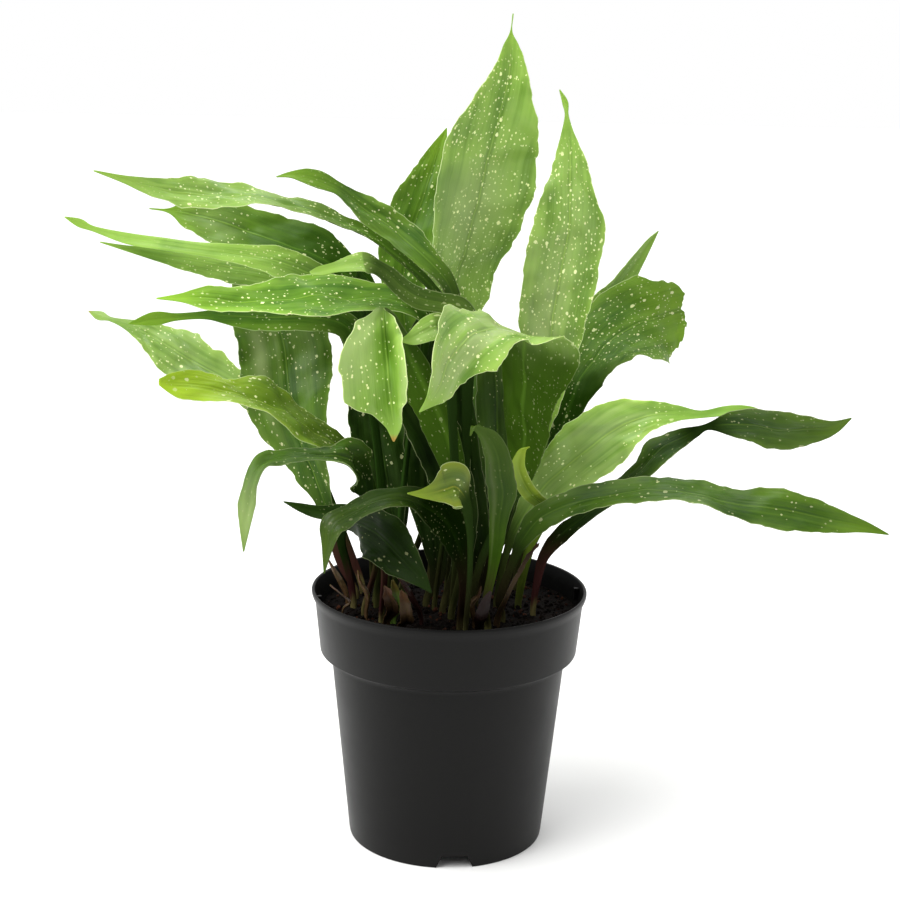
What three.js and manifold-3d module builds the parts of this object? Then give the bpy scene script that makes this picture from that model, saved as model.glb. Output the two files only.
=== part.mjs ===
import * as THREE from "three";
import { mergeVertices } from "three/addons/utils/BufferGeometryUtils.js";
import Module from "manifold-3d";

// A cast iron plant in a black nursery pot. Millimetres, +Z up. The plant's best side faces -Y.
// Every leaf is one closed solid: a stem that stands in a hole in the compost and widens into
// a thin, slightly folded blade.

// Pot
const potHeight = 178.2;
const rimRadius = 95;
const footRadius = 67.7;
const footWidth = 1.5;
const floorUnderside = 9.6;
const floorThickness = 1.2;
const stepHeight = 128;
const stepRadius = 80.9;
const collarRadius = 89;
const notchCount = 3;
const notchDirection = -83.3;
const notchBottomWidth = 26;
const notchTopWidth = 17;
const notchHeight = 9;
const drainCount = 8;
const drainRadius = 4.5;
const drainCircle = 48;
const lugCount = 8;
const lugWidth = 2.6;
const lugDepth = 3;
const lugBottom = 166;
const lugTop = 174.5;
const lugOuterRadius = 91.6;
const roundSegments = 48;

// Compost
const compostGap = 0.35;
const compostEdge = 161.8;
const compostMiddle = 163.6;
const stemHoleRadius = 2.9;
const stemHoleSides = 10;
const stemFoot = 140;
const stemCollar = 166;
const stemHalfWidth = 2.2;

// Blades
const bladeThickness = 0.7;
const midribThickness = 0.5;
const stemThickness = 3.4;
const broadHalfWidth = 20;
const segmentsPerSpan = 1.5;

const shades = {
  light: 0x86a85a,
  middle: 0x64894a,
  deep: 0x4a6b3a,
  shadow: 0x34502e,
  yellow: 0xa3b648,
  olive: 0x7f8a42,
  husk: 0x8d7350,
  purple: 0x5c4444,
};

// A leaf's stations run from just above the compost to the tip. Each one holds x, y and z of
// the midrib, half the blade's width, and the blade's turn about the midrib in degrees. At
// turn 0 one edge of the blade points the way named by side, in degrees from +X. fold lifts
// both halves of the blade into a V and cup rounds them into a spoon, both as shares of the half
// width, and skew makes the half on the named side wider.
const leaves = [
  { name: "tall_centre", root: [-2, 36], side: 0, fold: 0.25, shade: "light", stations: [
    [4, 46, 245, 3, 20], [-3, 53, 320, 6, 30], [-3, 57, 370, 24, 30], [6, 54, 407, 30, 30],
    [14, 49, 440, 34, 20], [21, 44, 473, 34, 15], [28, 41, 500, 25, 15], [33, 41, 525, 13, 15],
    [34, 42, 542, 6.5, 12], [34, 44, 553, 0.9, 10], [35, 45, 565, 0.4, 0]] },
  { name: "tall_right", root: [10, 22], side: 0, fold: 0.2, shade: "light", stations: [
    [38, 22, 210, 3, 5], [56, 22, 285, 11, 0], [64, 22, 328, 16, -10], [67, 21, 363, 23, -10],
    [72, 20, 400, 25, -5], [76, 19, 428, 24, -10], [76, 19, 452, 17.5, -20],
    [75, 20, 473, 11, -30], [73, 22, 489, 4.5, -30], [72, 24, 500, 1.4, -30],
    [71, 26, 508, 2.6, -50], [67, 29, 516, 0.5, -60]] },
  { name: "behind_centre", root: [-15, 56], side: 0, fold: 0.2, shade: "middle", stations: [
    [-12, 80, 220, 3, 0], [-26, 92, 290, 5, 0], [-37, 101, 342, 10, 0], [-39, 108, 377, 17, 0],
    [-35, 113, 407, 21, 0], [-26, 120, 435, 19, 0], [-16, 127, 468, 7, 0], [-10, 131, 485, 0.4, 0]] },
  { name: "right_broad_back", root: [36, 34], side: -45, fold: 0.12, shade: "middle", stations: [
    [66, 46, 245, 3, 20], [83, 64, 297, 13, 20], [96, 80, 320, 20, 10], [113, 97, 338, 31, 20],
    [134, 113, 347, 34, 50], [152, 124, 352, 27, 70], [161, 131, 354, 21, 75],
    [168, 136, 355, 13, 80]] },
  { name: "right_narrow_back", root: [46, 44], side: 0, fold: 0.3, shade: "light", stations: [
    [64, 71, 238, 3, 10], [87, 108, 302, 5, 15], [104, 146, 346, 10, 15], [124, 159, 372, 8, 30],
    [142, 171, 398, 4, 40], [151, 176, 409, 0.4, 40]] },
  { name: "right_arching", root: [33, 5], side: -90, fold: 0.15, shade: "light", stations: [
    [41, 8, 207, 3, 60], [61, 8, 245, 12, 70], [76, 5, 262, 18, 75], [94, 0, 279, 22, 75],
    [112, -3, 294, 19, 75], [132, -5, 303, 11, 70], [150, -5, 305, 6, 60], [168, -2, 304, 3, 45],
    [188, 2, 306, 5, 30], [204, 5, 305, 5, 25], [214, 6, 302, 0.4, 25]] },
  { name: "right_twisted", root: [58, -12], side: -90, fold: 0.1, shade: "middle", stations: [
    [60, -11, 184, 3, 35], [65, -9, 205, 5, 35], [78, -8, 221, 8, 30], [95, -5, 234, 6, 30],
    [112, -2, 248, 9, 30], [130, 0, 264, 9.5, 30], [141, 2, 277, 13, 35], [154, 2, 285, 9, 35],
    [164, -3, 292, 4, 55], [174, -10, 298, 3, 90], [195, -20, 302, 15, 120],
    [214, -25, 301, 18, 125], [233, -30, 301, 13, 120], [249, -35, 304, 6, 110],
    [261, -38, 311, 0.4, 110]] },
  { name: "right_long", root: [37, -27], side: -90, fold: 0.2, shade: "middle", stations: [
    [35, -33, 181, 3, 50], [44, -35, 210, 3, 60], [50, -37, 225, 6, 65], [61, -41, 240, 9, 60],
    [83, -46, 252, 10, 45], [111, -55, 261, 11, 30], [139, -65, 266, 12, 25],
    [162, -74, 266, 12, 25], [185, -81, 262, 11, 45], [213, -88, 261, 13, 70],
    [238, -92, 257, 9, 75], [260, -97, 254, 4, 75], [276, -100, 250, 0.4, 75]] },
  { name: "right_small_curled", root: [48, 4], side: 0, fold: 0.3, shade: "olive", stations: [
    [54, -6, 206, 3, 0], [63, -18, 234, 4, 0], [61, -28, 247, 5.5, 5], [54, -36, 255, 6, 5],
    [48, -44, 265, 5.5, 5], [44, -50, 276, 5, 5], [45, -54, 285, 3.6, 10], [47, -57, 290, 2.4, 10],
    [51, -59, 292, 0.5, 10]] },
  { name: "front_flap", root: [14, -20], side: 180, fold: 0.1, shade: "light", stations: [
    [22, -22, 205, 3, -45], [38, -22, 242, 4, -45], [47, -22, 263, 9, -45],
    [48, -22, 288, 20, -50], [48, -25, 315, 30, -55], [47, -33, 340, 38, -55],
    [44, -50, 363, 35, -30], [29, -76, 371, 20, -24], [12, -106, 371, 24.5, -38],
    [0, -126, 359, 17, -50], [-6, -139, 346, 10.5, -55], [-11, -149, 339, 4.5, -60],
    [-17, -154, 333, 0.4, -60]] },
  { name: "front_cup", root: [2, -26], side: 180, fold: 0.15, cup: 0.5, skew: 0.4, shade: "light",
    stations: [
    [11, -31, 216, 3, 20], [6, -35, 258, 7, 10], [-3, -42, 296, 11, 0], [-16, -54, 327, 12, 0],
    [-26, -68, 350, 9, 0], [-34, -86, 370, 5, 0], [-40, -102, 384, 4.5, 0], [-41, -113, 386, 5, 0],
    [-40, -122, 379, 11, 0], [-39, -128, 371, 15, 0], [-38, -132, 363, 18.5, 0],
    [-37, -134, 355, 20, 0], [-36, -135, 345, 19, 0], [-35, -135, 336, 15.5, 0],
    [-34, -135, 329, 9, 5], [-33, -134, 321, 5.5, 5], [-33, -132, 310, 0.5, 5]] },
  { name: "left_long_top", root: [-10, -6], side: 90, fold: 0.15, shade: "light", stations: [
    [-1, -7, 256, 3, -20], [-2, -8, 332, 3.5, -20], [-5, -6, 369, 6, -20], [-16, -5, 387, 6, -20],
    [-37, -6, 406, 8, -15], [-56, -6, 419, 11, -10], [-83, -8, 432, 13, -10],
    [-111, -15, 440, 15, -10], [-140, -23, 446, 15, -20], [-164, -33, 447, 13, -40],
    [-188, -44, 451, 8, -50], [-207, -52, 457, 3, -60], [-227, -57, 463, 0.4, -60]] },
  { name: "left_upper_behind", root: [-14, 24], side: 90, fold: 0.15, shade: "middle", stations: [
    [-2, 29, 247, 3, -45], [0, 29, 325, 3.5, -45], [0, 18, 366, 6, -45], [-6, 12, 389, 7, -45],
    [-24, 14, 407, 12, -45], [-41, 21, 420, 13, -45], [-57, 19, 432, 12, -45],
    [-70, 16, 442, 7.5, -45], [-79, 12, 449, 5, -50], [-89, 9, 454, 6.5, -55],
    [-100, 7, 457, 6, -50], [-110, 5, 458, 3, -40], [-119, 2, 457, 0.4, -35]] },
  { name: "left_back_broad", root: [-35, 40], side: 90, fold: 0.15, shade: "middle", stations: [
    [-17, 58, 225, 3, -45], [-35, 68, 296, 4, -45], [-54, 78, 353, 8, -45],
    [-76, 86, 380, 15, -45], [-106, 94, 396, 21, -50], [-140, 103, 406, 19, -60],
    [-171, 108, 416, 17, -80], [-195, 111, 421, 11, -80], [-210, 113, 423, 2, -80],
    [-225, 116, 424, 0.4, -80]] },
  { name: "left_folded", root: [-56, 52], side: 90, fold: 0.15, shade: "light", stations: [
    [-60, 58, 235, 3, -60], [-66, 60, 300, 3, -70], [-77, 60, 346, 6, -80], [-93, 62, 369, 9, -80],
    [-110, 62, 380, 12, -80], [-139, 62, 387, 12, -80], [-162, 61, 390, 11, -75],
    [-186, 59, 394, 8.5, -75], [-211, 57, 398, 4.5, -75], [-231, 55, 402, 2, -80],
    [-248, 53, 406, 0.4, -80]] },
  { name: "left_pointed", root: [-45, 24], side: 90, fold: 0.1, shade: "light", stations: [
    [-33, 35, 230, 3, -60], [-51, 41, 301, 3, -70], [-72, 44, 355, 7, -80], [-90, 43, 381, 9, -80],
    [-116, 42, 394, 11, -80], [-144, 43, 400, 7.5, -75], [-175, 45, 403, 5, -70],
    [-203, 48, 406, 4.5, -70], [-228, 51, 409, 4, -75], [-252, 53, 415, 2, -80],
    [-262, 53, 419, 3, -80], [-272, 52, 423, 0.4, -80]] },
  { name: "left_middle", root: [-38, -16], side: 90, fold: 0.15, shade: "middle", stations: [
    [-34, -13, 229, 3, -25], [-27, -8, 304, 3, -25], [-20, -11, 349, 7, -25],
    [-19, -20, 370, 13, -25], [-40, -30, 381, 14, -20], [-66, -41, 384, 21, -25],
    [-91, -52, 384, 25, -25], [-113, -61, 384, 18, -25], [-134, -69, 384, 12, -35],
    [-154, -77, 386, 10, -40], [-168, -81, 387, 4, -40], [-184, -84, 387, 0.4, -40]] },
  { name: "centre_pale_twist", root: [2, -20], side: 90, fold: 0.15, shade: "light", stations: [
    [9, -22, 260, 3, -60], [10, -22, 328, 4, -80], [10, -24, 362, 7, -85], [5, -26, 377, 6.5, -85],
    [-9, -28, 380, 6.5, -85], [-22, -31, 383, 7, -85], [-33, -36, 390, 6.5, -80],
    [-42, -42, 399, 5.5, -70], [-50, -48, 405, 5, -60], [-57, -53, 408, 8, -50],
    [-66, -56, 407, 6.5, -45], [-75, -58, 405, 4.2, -45], [-84, -62, 403, 3.8, -45],
    [-90, -65, 402, 1.6, -40]] },
  { name: "centre_small_tip", root: [11, -33], side: 90, fold: 0.15, shade: "light", stations: [
    [9, -42, 205, 3, -40], [4, -55, 262, 3, -50], [1, -60, 309, 3, -60], [-1, -66, 342, 4, -70],
    [-3, -72, 362, 6, -70], [-8, -80, 372, 8.5, -65], [-16, -86, 370, 8, -60],
    [-24, -90, 366, 5, -55], [-32, -93, 365, 0.4, -55]] },
  { name: "left_low_back", root: [-62, 30], side: 90, fold: 0.15, shade: "light", stations: [
    [-76, 49, 196, 3, -80], [-98, 74, 238, 3.5, -80], [-125, 94, 266, 6, -80],
    [-148, 108, 285, 9, -80], [-169, 119, 297, 12.5, -80], [-192, 130, 306, 17.5, -80],
    [-213, 138, 316, 17.5, -70], [-233, 143, 327, 11, -55], [-248, 146, 333, 5, -50],
    [-262, 148, 337, 2, -50], [-271, 151, 339, 4, -50], [-280, 154, 342, 0.4, -50]] },
  { name: "left_under_middle", root: [-50, -3], side: 90, fold: 0.15, shade: "middle", stations: [
    [-47, -5, 240, 3, -60], [-54, -4, 303, 3, -70], [-61, -3, 337, 7, -80],
    [-72, -2, 359, 8.5, -80], [-96, -4, 365, 9, -80], [-122, -8, 365, 9.5, -80],
    [-145, -13, 366, 7, -80], [-163, -17, 367, 3, -80], [-182, -21, 366, 2.5, -80],
    [-197, -25, 365, 4.5, -80], [-213, -29, 362, 0.4, -80]] },
  { name: "left_big_back", root: [-66, 18], side: 0, fold: 0.15, shade: "middle", stations: [
    [-78, 25, 188, 3, -25], [-88, 30, 225, 6, -25], [-99, 38, 251, 15, -30],
    [-110, 46, 278, 27, -25], [-117, 58, 302, 32, -10], [-122, 74, 329, 33, 10],
    [-131, 89, 352, 33, 15], [-145, 100, 371, 23, 25], [-153, 108, 382, 10, 25],
    [-159, 113, 390, 0.5, 25]] },
  { name: "left_bright", root: [-58, -17], side: 90, fold: 0.15, shade: "yellow", stations: [
    [-49, -27, 204, 3, -25], [-50, -38, 249, 3, -25], [-59, -49, 275, 6, -25],
    [-74, -60, 291, 11, -20], [-92, -76, 305, 21, -10], [-114, -92, 323, 23, -10],
    [-133, -105, 332, 14, -15], [-152, -117, 338, 10.5, -45], [-165, -127, 341, 8.5, -55],
    [-174, -135, 344, 2, -60]] },
  { name: "left_drooping", root: [-45, -34], side: 90, fold: 0.15, shade: "middle", stations: [
    [-43, -49, 211, 3, -35], [-52, -61, 253, 4, -35], [-58, -82, 280, 14, -35],
    [-66, -101, 291, 12, -20], [-83, -114, 296, 7.5, -15], [-101, -126, 297, 8.5, -20],
    [-112, -136, 295, 8, -30], [-117, -146, 286, 6, -45], [-119, -151, 274, 7, -55],
    [-120, -155, 262, 4.5, -55], [-121, -157, 246, 0.4, -55]] },
  { name: "left_dark_low", root: [-52, 8], side: 90, fold: 0.15, shade: "shadow", stations: [
    [-46, 6, 205, 3, -30], [-53, 0, 228, 4, -30], [-70, -8, 231, 8, -30], [-88, -20, 234, 6, -30],
    [-100, -27, 239, 4, -30], [-111, -33, 245, 0.4, -30]] },
  { name: "front_left_low", root: [8, -46], side: 90, fold: 0.15, shade: "middle", stations: [
    [11, -48, 198, 5, -50], [7, -58, 222, 9, -50], [-2, -74, 245, 13.5, -45],
    [-14, -92, 258, 13, -35], [-27, -104, 267, 9, -25], [-43, -116, 268, 10, -25],
    [-58, -127, 263, 8, -35], [-69, -135, 257, 9, -50], [-72, -139, 244, 4.5, -50],
    [-74, -142, 229, 0.4, -50]] },
  { name: "low_dark_drooping", root: [-66, -3], side: -90, fold: 0.15, shade: "shadow", stations: [
    [-69, -11, 192, 3, 60], [-73, -25, 216, 3, 70], [-70, -44, 233, 4.5, 75],
    [-59, -72, 242, 9, 80], [-44, -95, 241, 16, 80], [-31, -108, 232, 14, 80],
    [-19, -116, 222, 7, 80], [-9, -122, 212, 0.4, 80]] },
  { name: "yellow_flap", root: [12, -62], side: 90, fold: 0.15, shade: "olive", stations: [
    [14, -67, 202, 3, -15], [14, -76, 232, 3.5, -20], [12, -84, 253, 4, -35],
    [9, -92, 267, 5, -50], [4.5, -98, 274, 14.5, -60], [-1, -103, 274, 12.5, -62],
    [-8, -108, 273, 6.5, -65], [-16, -113, 273, 3, -65], [-25, -117, 274, 0.4, -60]] },
  { name: "front_blade", root: [27, -48], side: 180, fold: 0.25, shade: "middle", stations: [
    [25, -66, 186, 2.4, -5], [29, -71, 212, 3, -5], [31, -78, 231, 4.5, -2], [32, -84, 249, 6, 0],
    [34, -89, 267, 9, 3], [32, -92, 281, 9, 8], [30, -95, 294, 8, 10], [25, -98, 305, 6, 10],
    [19, -101, 311, 3.2, 10], [15, -104, 314, 1.8, 10], [13, -107, 309, 0.4, 10]] },
  { name: "inner_left", root: [-30, 14], side: 0, fold: 0.2, shade: "shadow", stations: [
    [-35, 16, 188, 3, 5], [-45, 16, 253, 13, 5], [-50, 16, 280, 19, 5], [-53, 16, 311, 21, 15],
    [-57, 17, 343, 20, 15], [-61, 19, 371, 13, 10], [-66, 22, 395, 0.5, 10]] },
  { name: "inner_centre", root: [-16, 2], side: 0, fold: 0.2, shade: "shadow", stations: [
    [-8, 3, 190, 6, 0], [-15, 5, 240, 14, 0], [-18, 6, 287, 15, 0], [-19, 7, 322, 14, 0],
    [-19, 8, 353, 11, 0], [-17, 9, 375, 0.5, 0]] },
  { name: "inner_diagonal", root: [-4, -12], side: 0, fold: 0.2, shade: "shadow", stations: [
    [8, -12, 200, 7, 5], [6, -14, 236, 12, 15], [-3, -18, 268, 17, 30], [-14, -22, 294, 19, 35],
    [-25, -25, 316, 15, 30], [-35, -27, 342, 0.5, 30]] },
  { name: "inner_right", root: [18, 6], side: 0, fold: 0.2, shade: "deep", stations: [
    [25, 8, 185, 3.5, 10], [30, 9, 230, 12, 10], [31, 9, 285, 15, 12], [28, 7, 330, 13, 10],
    [22, 3, 362, 0.5, 10]] },
  { name: "inner_narrow", root: [10, -2], side: 0, fold: 0.2, shade: "shadow", stations: [
    [14, -1, 184, 8, 5], [15, -2, 222, 12, 5], [12, -2, 262, 9, 10], [6, 4, 307, 8, 10],
    [3, 8, 347, 0.5, 10]] },
  { name: "rear_centre", root: [2, 60], side: 0, fold: 0.25, shade: "deep", stations: [
    [5, 78, 190, 3, 0], [5, 94, 220, 10, 0], [6, 113, 265, 15, 0], [6, 135, 306, 15, 0],
    [4, 157, 329, 10, 0], [3, 176, 339, 0.5, 0]] },
  { name: "rear_right", root: [28, 64], side: -30, fold: 0.25, shade: "deep", stations: [
    [36, 80, 190, 3, 30], [48, 102, 218, 9, 30], [62, 124, 262, 14, 35], [75, 140, 302, 16, 40],
    [88, 167, 325, 15, 45], [95, 186, 337, 9, 45], [98, 197, 346, 0.5, 45]] },
  { name: "rear_left", root: [-46, 48], side: 30, fold: 0.25, shade: "deep", stations: [
    [-44, 66, 192, 3, -20], [-48, 86, 222, 8, -20], [-52, 111, 258, 13, -20],
    [-61, 140, 295, 16, -15], [-70, 165, 327, 14, 0], [-77, 184, 351, 0.5, 0]] },
];

// Dry sheaths, one young shoot and two bare stalks at the foot of the plant, with the same
// kind of stations.
const shootsAndSheaths = [
  { name: "sheath_left", root: [-71, 2], side: 90, fold: 0.5, stem: 2.2, shade: "husk",
    stations: [[-76, 6, 176, 4.5, 0], [-81, 8, 184, 4, 0], [-85, 11, 192, 1, 0]] },
  { name: "sheath_left_front", root: [-56, -28], side: 90, fold: 0.5, stem: 2, shade: "husk",
    stations: [[-55, -35, 181, 3.5, 0], [-60, -35, 191, 2.5, 0], [-61, -37, 199, 0.8, 0]] },
  { name: "sheath_cluster_left", root: [-41, -46], side: 0, fold: 0.6, stem: 2, shade: "husk",
    stations: [[-36, -61, 182, 4, 0], [-39, -65, 192, 3.5, 0], [-41, -66, 198, 0.8, 0]] },
  { name: "shoot_green", root: [-37, -36], side: 0, fold: 0.6, stem: 2.6, shade: "yellow",
    stations: [[-33, -45, 179, 4, 0], [-35, -46, 189, 3, 0], [-37, -48, 197, 0.8, 0]] },
  { name: "sheath_cluster_right", root: [-31, -51], side: 0, fold: 0.6, stem: 2, shade: "husk",
    stations: [[-26, -68, 177, 4, 0], [-28, -69, 189, 3.5, 0], [-30, -71, 197, 0.8, 0]] },
  { name: "sheath_dark_leaning", root: [-18, -36], side: 90, fold: 0.5, stem: 2.4, shade: "purple",
    stations: [[-25, -46, 184, 4, 0], [-31, -49, 195, 3.5, 0], [-36, -52, 203, 1, 0]] },
  { name: "sheath_brown_right", root: [18, -40], side: -90, fold: 0.5, stem: 2, shade: "husk",
    stations: [[17, -51, 182, 4, 0], [21, -52, 188, 3, 0], [22, -54, 195, 0.8, 0]] },
  { name: "sheath_purple", root: [21, -58], side: 180, fold: 0.6, stem: 2, shade: "purple",
    stations: [[22, -79, 181, 4, 0], [25, -81, 193, 3, 0], [28, -82, 201, 0.8, 0]] },
  { name: "dead_stalk_right", root: [33, -39], side: 0, fold: 0.1, stem: 1.8, shade: "husk",
    stations: [[39, -46, 186, 1.5, 0], [48, -41, 204, 1.5, 0], [59, -35, 221, 1, 0]] },
  { name: "dead_stalk_left", root: [-72, -22], side: 90, fold: 0.1, stem: 1.6, shade: "husk",
    stations: [[-67, -25, 173, 1.5, 0], [-73, -20, 177, 1, 0], [-81, -13, 181, 0.9, 0]] },
];

const wasm = await Module();
wasm.setup();

// Vertices are shared and collapsed triangles dropped, so the surface closes on itself.
function toSolid(geometry) {
  geometry.deleteAttribute("normal");
  geometry.deleteAttribute("uv");
  const merged = mergeVertices(geometry, 1e-4);
  const triangles = [];
  for (let i = 0; i < merged.index.count; i += 3) {
    const [a, b, c] = [0, 1, 2].map((corner) => merged.index.getX(i + corner));
    if (a !== b && b !== c && c !== a) triangles.push(a, b, c);
  }
  return new wasm.Manifold(new wasm.Mesh({
    numProp: 3,
    vertProperties: new Float32Array(merged.attributes.position.array),
    triVerts: new Uint32Array(triangles),
  }));
}

function toGeometry(solid) {
  const mesh = solid.getMesh();
  const geometry = new THREE.BufferGeometry();
  geometry.setAttribute("position", new THREE.BufferAttribute(mesh.vertProperties, 3));
  geometry.setIndex(new THREE.BufferAttribute(mesh.triVerts, 1));
  geometry.computeVertexNormals();
  return geometry;
}

// Profiles are lists of radius and height that run up the outside and back down the axis.
function lathe(profile, segments = roundSegments) {
  const points = profile.map(([radius, height]) => new THREE.Vector2(radius, height));
  return new THREE.LatheGeometry(points, segments).rotateX(Math.PI / 2);
}

function ringOf(count, firstDegrees, place) {
  const turns = Array.from({ length: count }, (_, i) => firstDegrees + (i * 360) / count);
  return turns.map((degrees) => place(THREE.MathUtils.degToRad(degrees)));
}

function notchGeometry(angle) {
  const outline = new THREE.Shape();
  outline.moveTo(-notchBottomWidth / 2, -1);
  outline.lineTo(notchBottomWidth / 2, -1);
  outline.lineTo(notchTopWidth / 2, notchHeight);
  outline.lineTo(-notchTopWidth / 2, notchHeight);
  const depth = 12;
  return new THREE.ExtrudeGeometry(outline, { depth, bevelEnabled: false })
    .rotateX(Math.PI / 2)
    .rotateZ(Math.PI / 2)
    .translate(footRadius - depth / 2 - footWidth, 0, 0)
    .rotateZ(angle);
}

function drainGeometry(angle) {
  return new THREE.CylinderGeometry(drainRadius, drainRadius, 3 * floorThickness, 16)
    .rotateX(Math.PI / 2)
    .translate(drainCircle, 0, floorUnderside + floorThickness / 2)
    .rotateZ(angle);
}

function lugGeometry(angle) {
  return new THREE.BoxGeometry(lugDepth, lugWidth, lugTop - lugBottom)
    .translate(lugOuterRadius - lugDepth / 2, 0, (lugBottom + lugTop) / 2)
    .rotateZ(angle);
}

function potSolid() {
  const floorTop = floorUnderside + floorThickness;
  const profile = [
    [0, floorUnderside],
    [footRadius - footWidth - 0.3, floorUnderside],
    [footRadius - footWidth, 0],
    [footRadius, 0],
    [footRadius + 0.5, 3],
    [stepRadius, stepHeight],
    [82, 131.5],
    [85, 133.6],
    [88.2, 134.4],
    [collarRadius, 135.5],
    [92.4, 169],
    [93.2, 171.5],
    [94.4, 174],
    [rimRadius, potHeight - 1.8],
    [rimRadius, potHeight - 0.6],
    [94.2, potHeight],
    [93, potHeight - 0.6],
    [91.6, 172],
    [91, 168.5],
    [87.7, 136.6],
    [83.6, 134.6],
    [80.2, 132],
    [79.6, stepHeight],
    [67.2, floorTop],
    [0, floorTop],
  ];
  let pot = toSolid(lathe(profile));
  for (const lug of ringOf(lugCount, 10, lugGeometry)) pot = pot.add(toSolid(lug));
  for (const notch of ringOf(notchCount, notchDirection, notchGeometry)) {
    pot = pot.subtract(toSolid(notch));
  }
  for (const drain of ringOf(drainCount, 0, drainGeometry)) pot = pot.subtract(toSolid(drain));
  return pot;
}

function compostSolid(stems) {
  const bottom = floorUnderside + floorThickness + compostGap;
  const profile = [
    [0, bottom],
    [67.2 - compostGap, bottom],
    [79.6 - compostGap, stepHeight + 0.2],
    [80.2 - compostGap, 132.3],
    [83.6 - compostGap, 134.95],
    [87.7 - compostGap, 137],
    [90.3 - compostGap, compostEdge],
    [60, compostMiddle - 0.3],
    [0, compostMiddle],
  ];
  const holeDepth = 40;
  let compost = toSolid(lathe(profile));
  for (const [x, y] of stems) {
    const hole = new THREE.CylinderGeometry(stemHoleRadius, stemHoleRadius, holeDepth, stemHoleSides)
      .rotateX(Math.PI / 2)
      .translate(x, y, stemFoot - 0.4 + holeDepth / 2);
    compost = compost.subtract(toSolid(hole));
  }
  return compost;
}

// Value at t, from 0 to 1, of a smooth curve through the listed values. The first span, which
// is the stem in its hole, stays straight.
function along(values, t) {
  const last = values.length - 1;
  const place = THREE.MathUtils.clamp(t, 0, 1) * last;
  const i = Math.min(Math.floor(place), last - 1);
  const f = place - i;
  const b = values[i];
  const c = values[i + 1];
  if (i === 0) return b + (c - b) * f;
  const a = values[i - 1];
  const d = i + 2 <= last ? values[i + 2] : 2 * c - b;
  const square = 2 * a - 5 * b + 4 * c - d;
  const cube = 3 * b - a - 3 * c + d;
  return 0.5 * (2 * b + (c - a) * f + square * f ** 2 + cube * f ** 3);
}

function bladeFrame(leaf, t) {
  const step = 1e-3;
  const midrib = (s) => new THREE.Vector3(...leaf.path.map((values) => along(values, s)));
  const centre = midrib(t);
  const tangent = midrib(Math.min(t + step, 1)).sub(midrib(Math.max(t - step, 0))).normalize();
  const bearing = THREE.MathUtils.degToRad(leaf.side);
  const across = new THREE.Vector3(Math.cos(bearing), Math.sin(bearing), 0);
  across.addScaledVector(tangent, -across.dot(tangent)).normalize();
  across.applyAxisAngle(tangent, THREE.MathUtils.degToRad(along(leaf.turns, t)));
  const upward = new THREE.Vector3().crossVectors(across, tangent);
  return { centre, tangent, across, upward };
}

// Blade thickness fades into the stem's where the leaf is narrow and near its foot.
function thicknessAt(leaf, t, v, halfWidth) {
  const narrow = THREE.MathUtils.smoothstep(8 - halfWidth, 0, 5);
  const nearFoot = THREE.MathUtils.clamp((0.75 - t) / 0.2, 0, 1);
  const stem = narrow * nearFoot;
  const midrib = midribThickness * Math.exp(-((v / 0.12) ** 2)) * (1 - t);
  return (1 - stem) * (bladeThickness + midrib) + stem * leaf.stem * (1 - 0.55 * v * v);
}

// Rows of vertices: one at the leaf's foot, then even steps from the compost's top to the tip.
function rowPlaces(spans) {
  const steps = Math.round(segmentsPerSpan * (spans - 1));
  const shares = Array.from({ length: steps + 1 }, (_, i) => i / steps);
  return [0, ...shares.map((share) => (1 + (spans - 1) * share) / spans)];
}

function leafGeometry(leaf) {
  const strips = Math.max(...leaf.widths) > broadHalfWidth ? 4 : 2;
  const places = rowPlaces(leaf.widths.length - 1);
  const upper = [];
  const lower = [];
  for (const t of places) {
    const { centre, tangent, across, upward } = bladeFrame(leaf, t);
    const halfWidth = Math.max(along(leaf.widths, t), 0.35);
    const open = THREE.MathUtils.clamp((halfWidth - 4) / 8, 0, 1);
    const cup = (leaf.cup ?? 0) * open;
    const skew = (leaf.skew ?? 0) * open;
    for (let strip = 0; strip <= strips; strip += 1) {
      const v = (2 * strip) / strips - 1;
      const side = Math.sign(v) * Math.min(1, Math.abs(v) / 0.1);
      const rise = leaf.fold * (Math.sqrt(v * v + 0.0064) - 0.08) + cup * v * v;
      const slope = leaf.fold * side + 2 * cup * v;
      const reach = halfWidth * (1 + skew * side);
      const point = centre.clone().addScaledVector(across, reach * v)
        .addScaledVector(upward, halfWidth * rise);
      const normal = across.clone().addScaledVector(upward, slope).cross(tangent).normalize();
      const half = thicknessAt(leaf, t, v, halfWidth) / 2;
      upper.push(...point.clone().addScaledVector(normal, half).toArray());
      lower.push(...point.addScaledVector(normal, -half).toArray());
    }
  }
  const geometry = new THREE.BufferGeometry();
  const positions = new THREE.Float32BufferAttribute([...upper, ...lower], 3);
  geometry.setAttribute("position", positions);
  geometry.setIndex(shellTriangles(places.length - 1, strips));
  geometry.computeVertexNormals();
  return geometry;
}

// Both faces of a blade are split along the same diagonals, and walls join their borders.
function shellTriangles(rows, strips) {
  const under = (rows + 1) * (strips + 1);
  const at = (row, strip) => row * (strips + 1) + strip;
  const triangles = [];
  const wall = (a, b) => triangles.push(a, under + a, under + b, a, under + b, b);
  for (let row = 0; row < rows; row += 1) {
    for (let strip = 0; strip < strips; strip += 1) {
      const a = at(row, strip);
      const b = at(row, strip + 1);
      const c = at(row + 1, strip + 1);
      const d = at(row + 1, strip);
      triangles.push(a, b, c, a, c, d);
      triangles.push(under + a, under + c, under + b, under + a, under + d, under + c);
    }
    wall(at(row + 1, 0), at(row, 0));
    wall(at(row, strips), at(row + 1, strips));
  }
  for (let strip = 0; strip < strips; strip += 1) {
    wall(at(0, strip), at(0, strip + 1));
    wall(at(rows, strip + 1), at(rows, strip));
  }
  return triangles;
}

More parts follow.
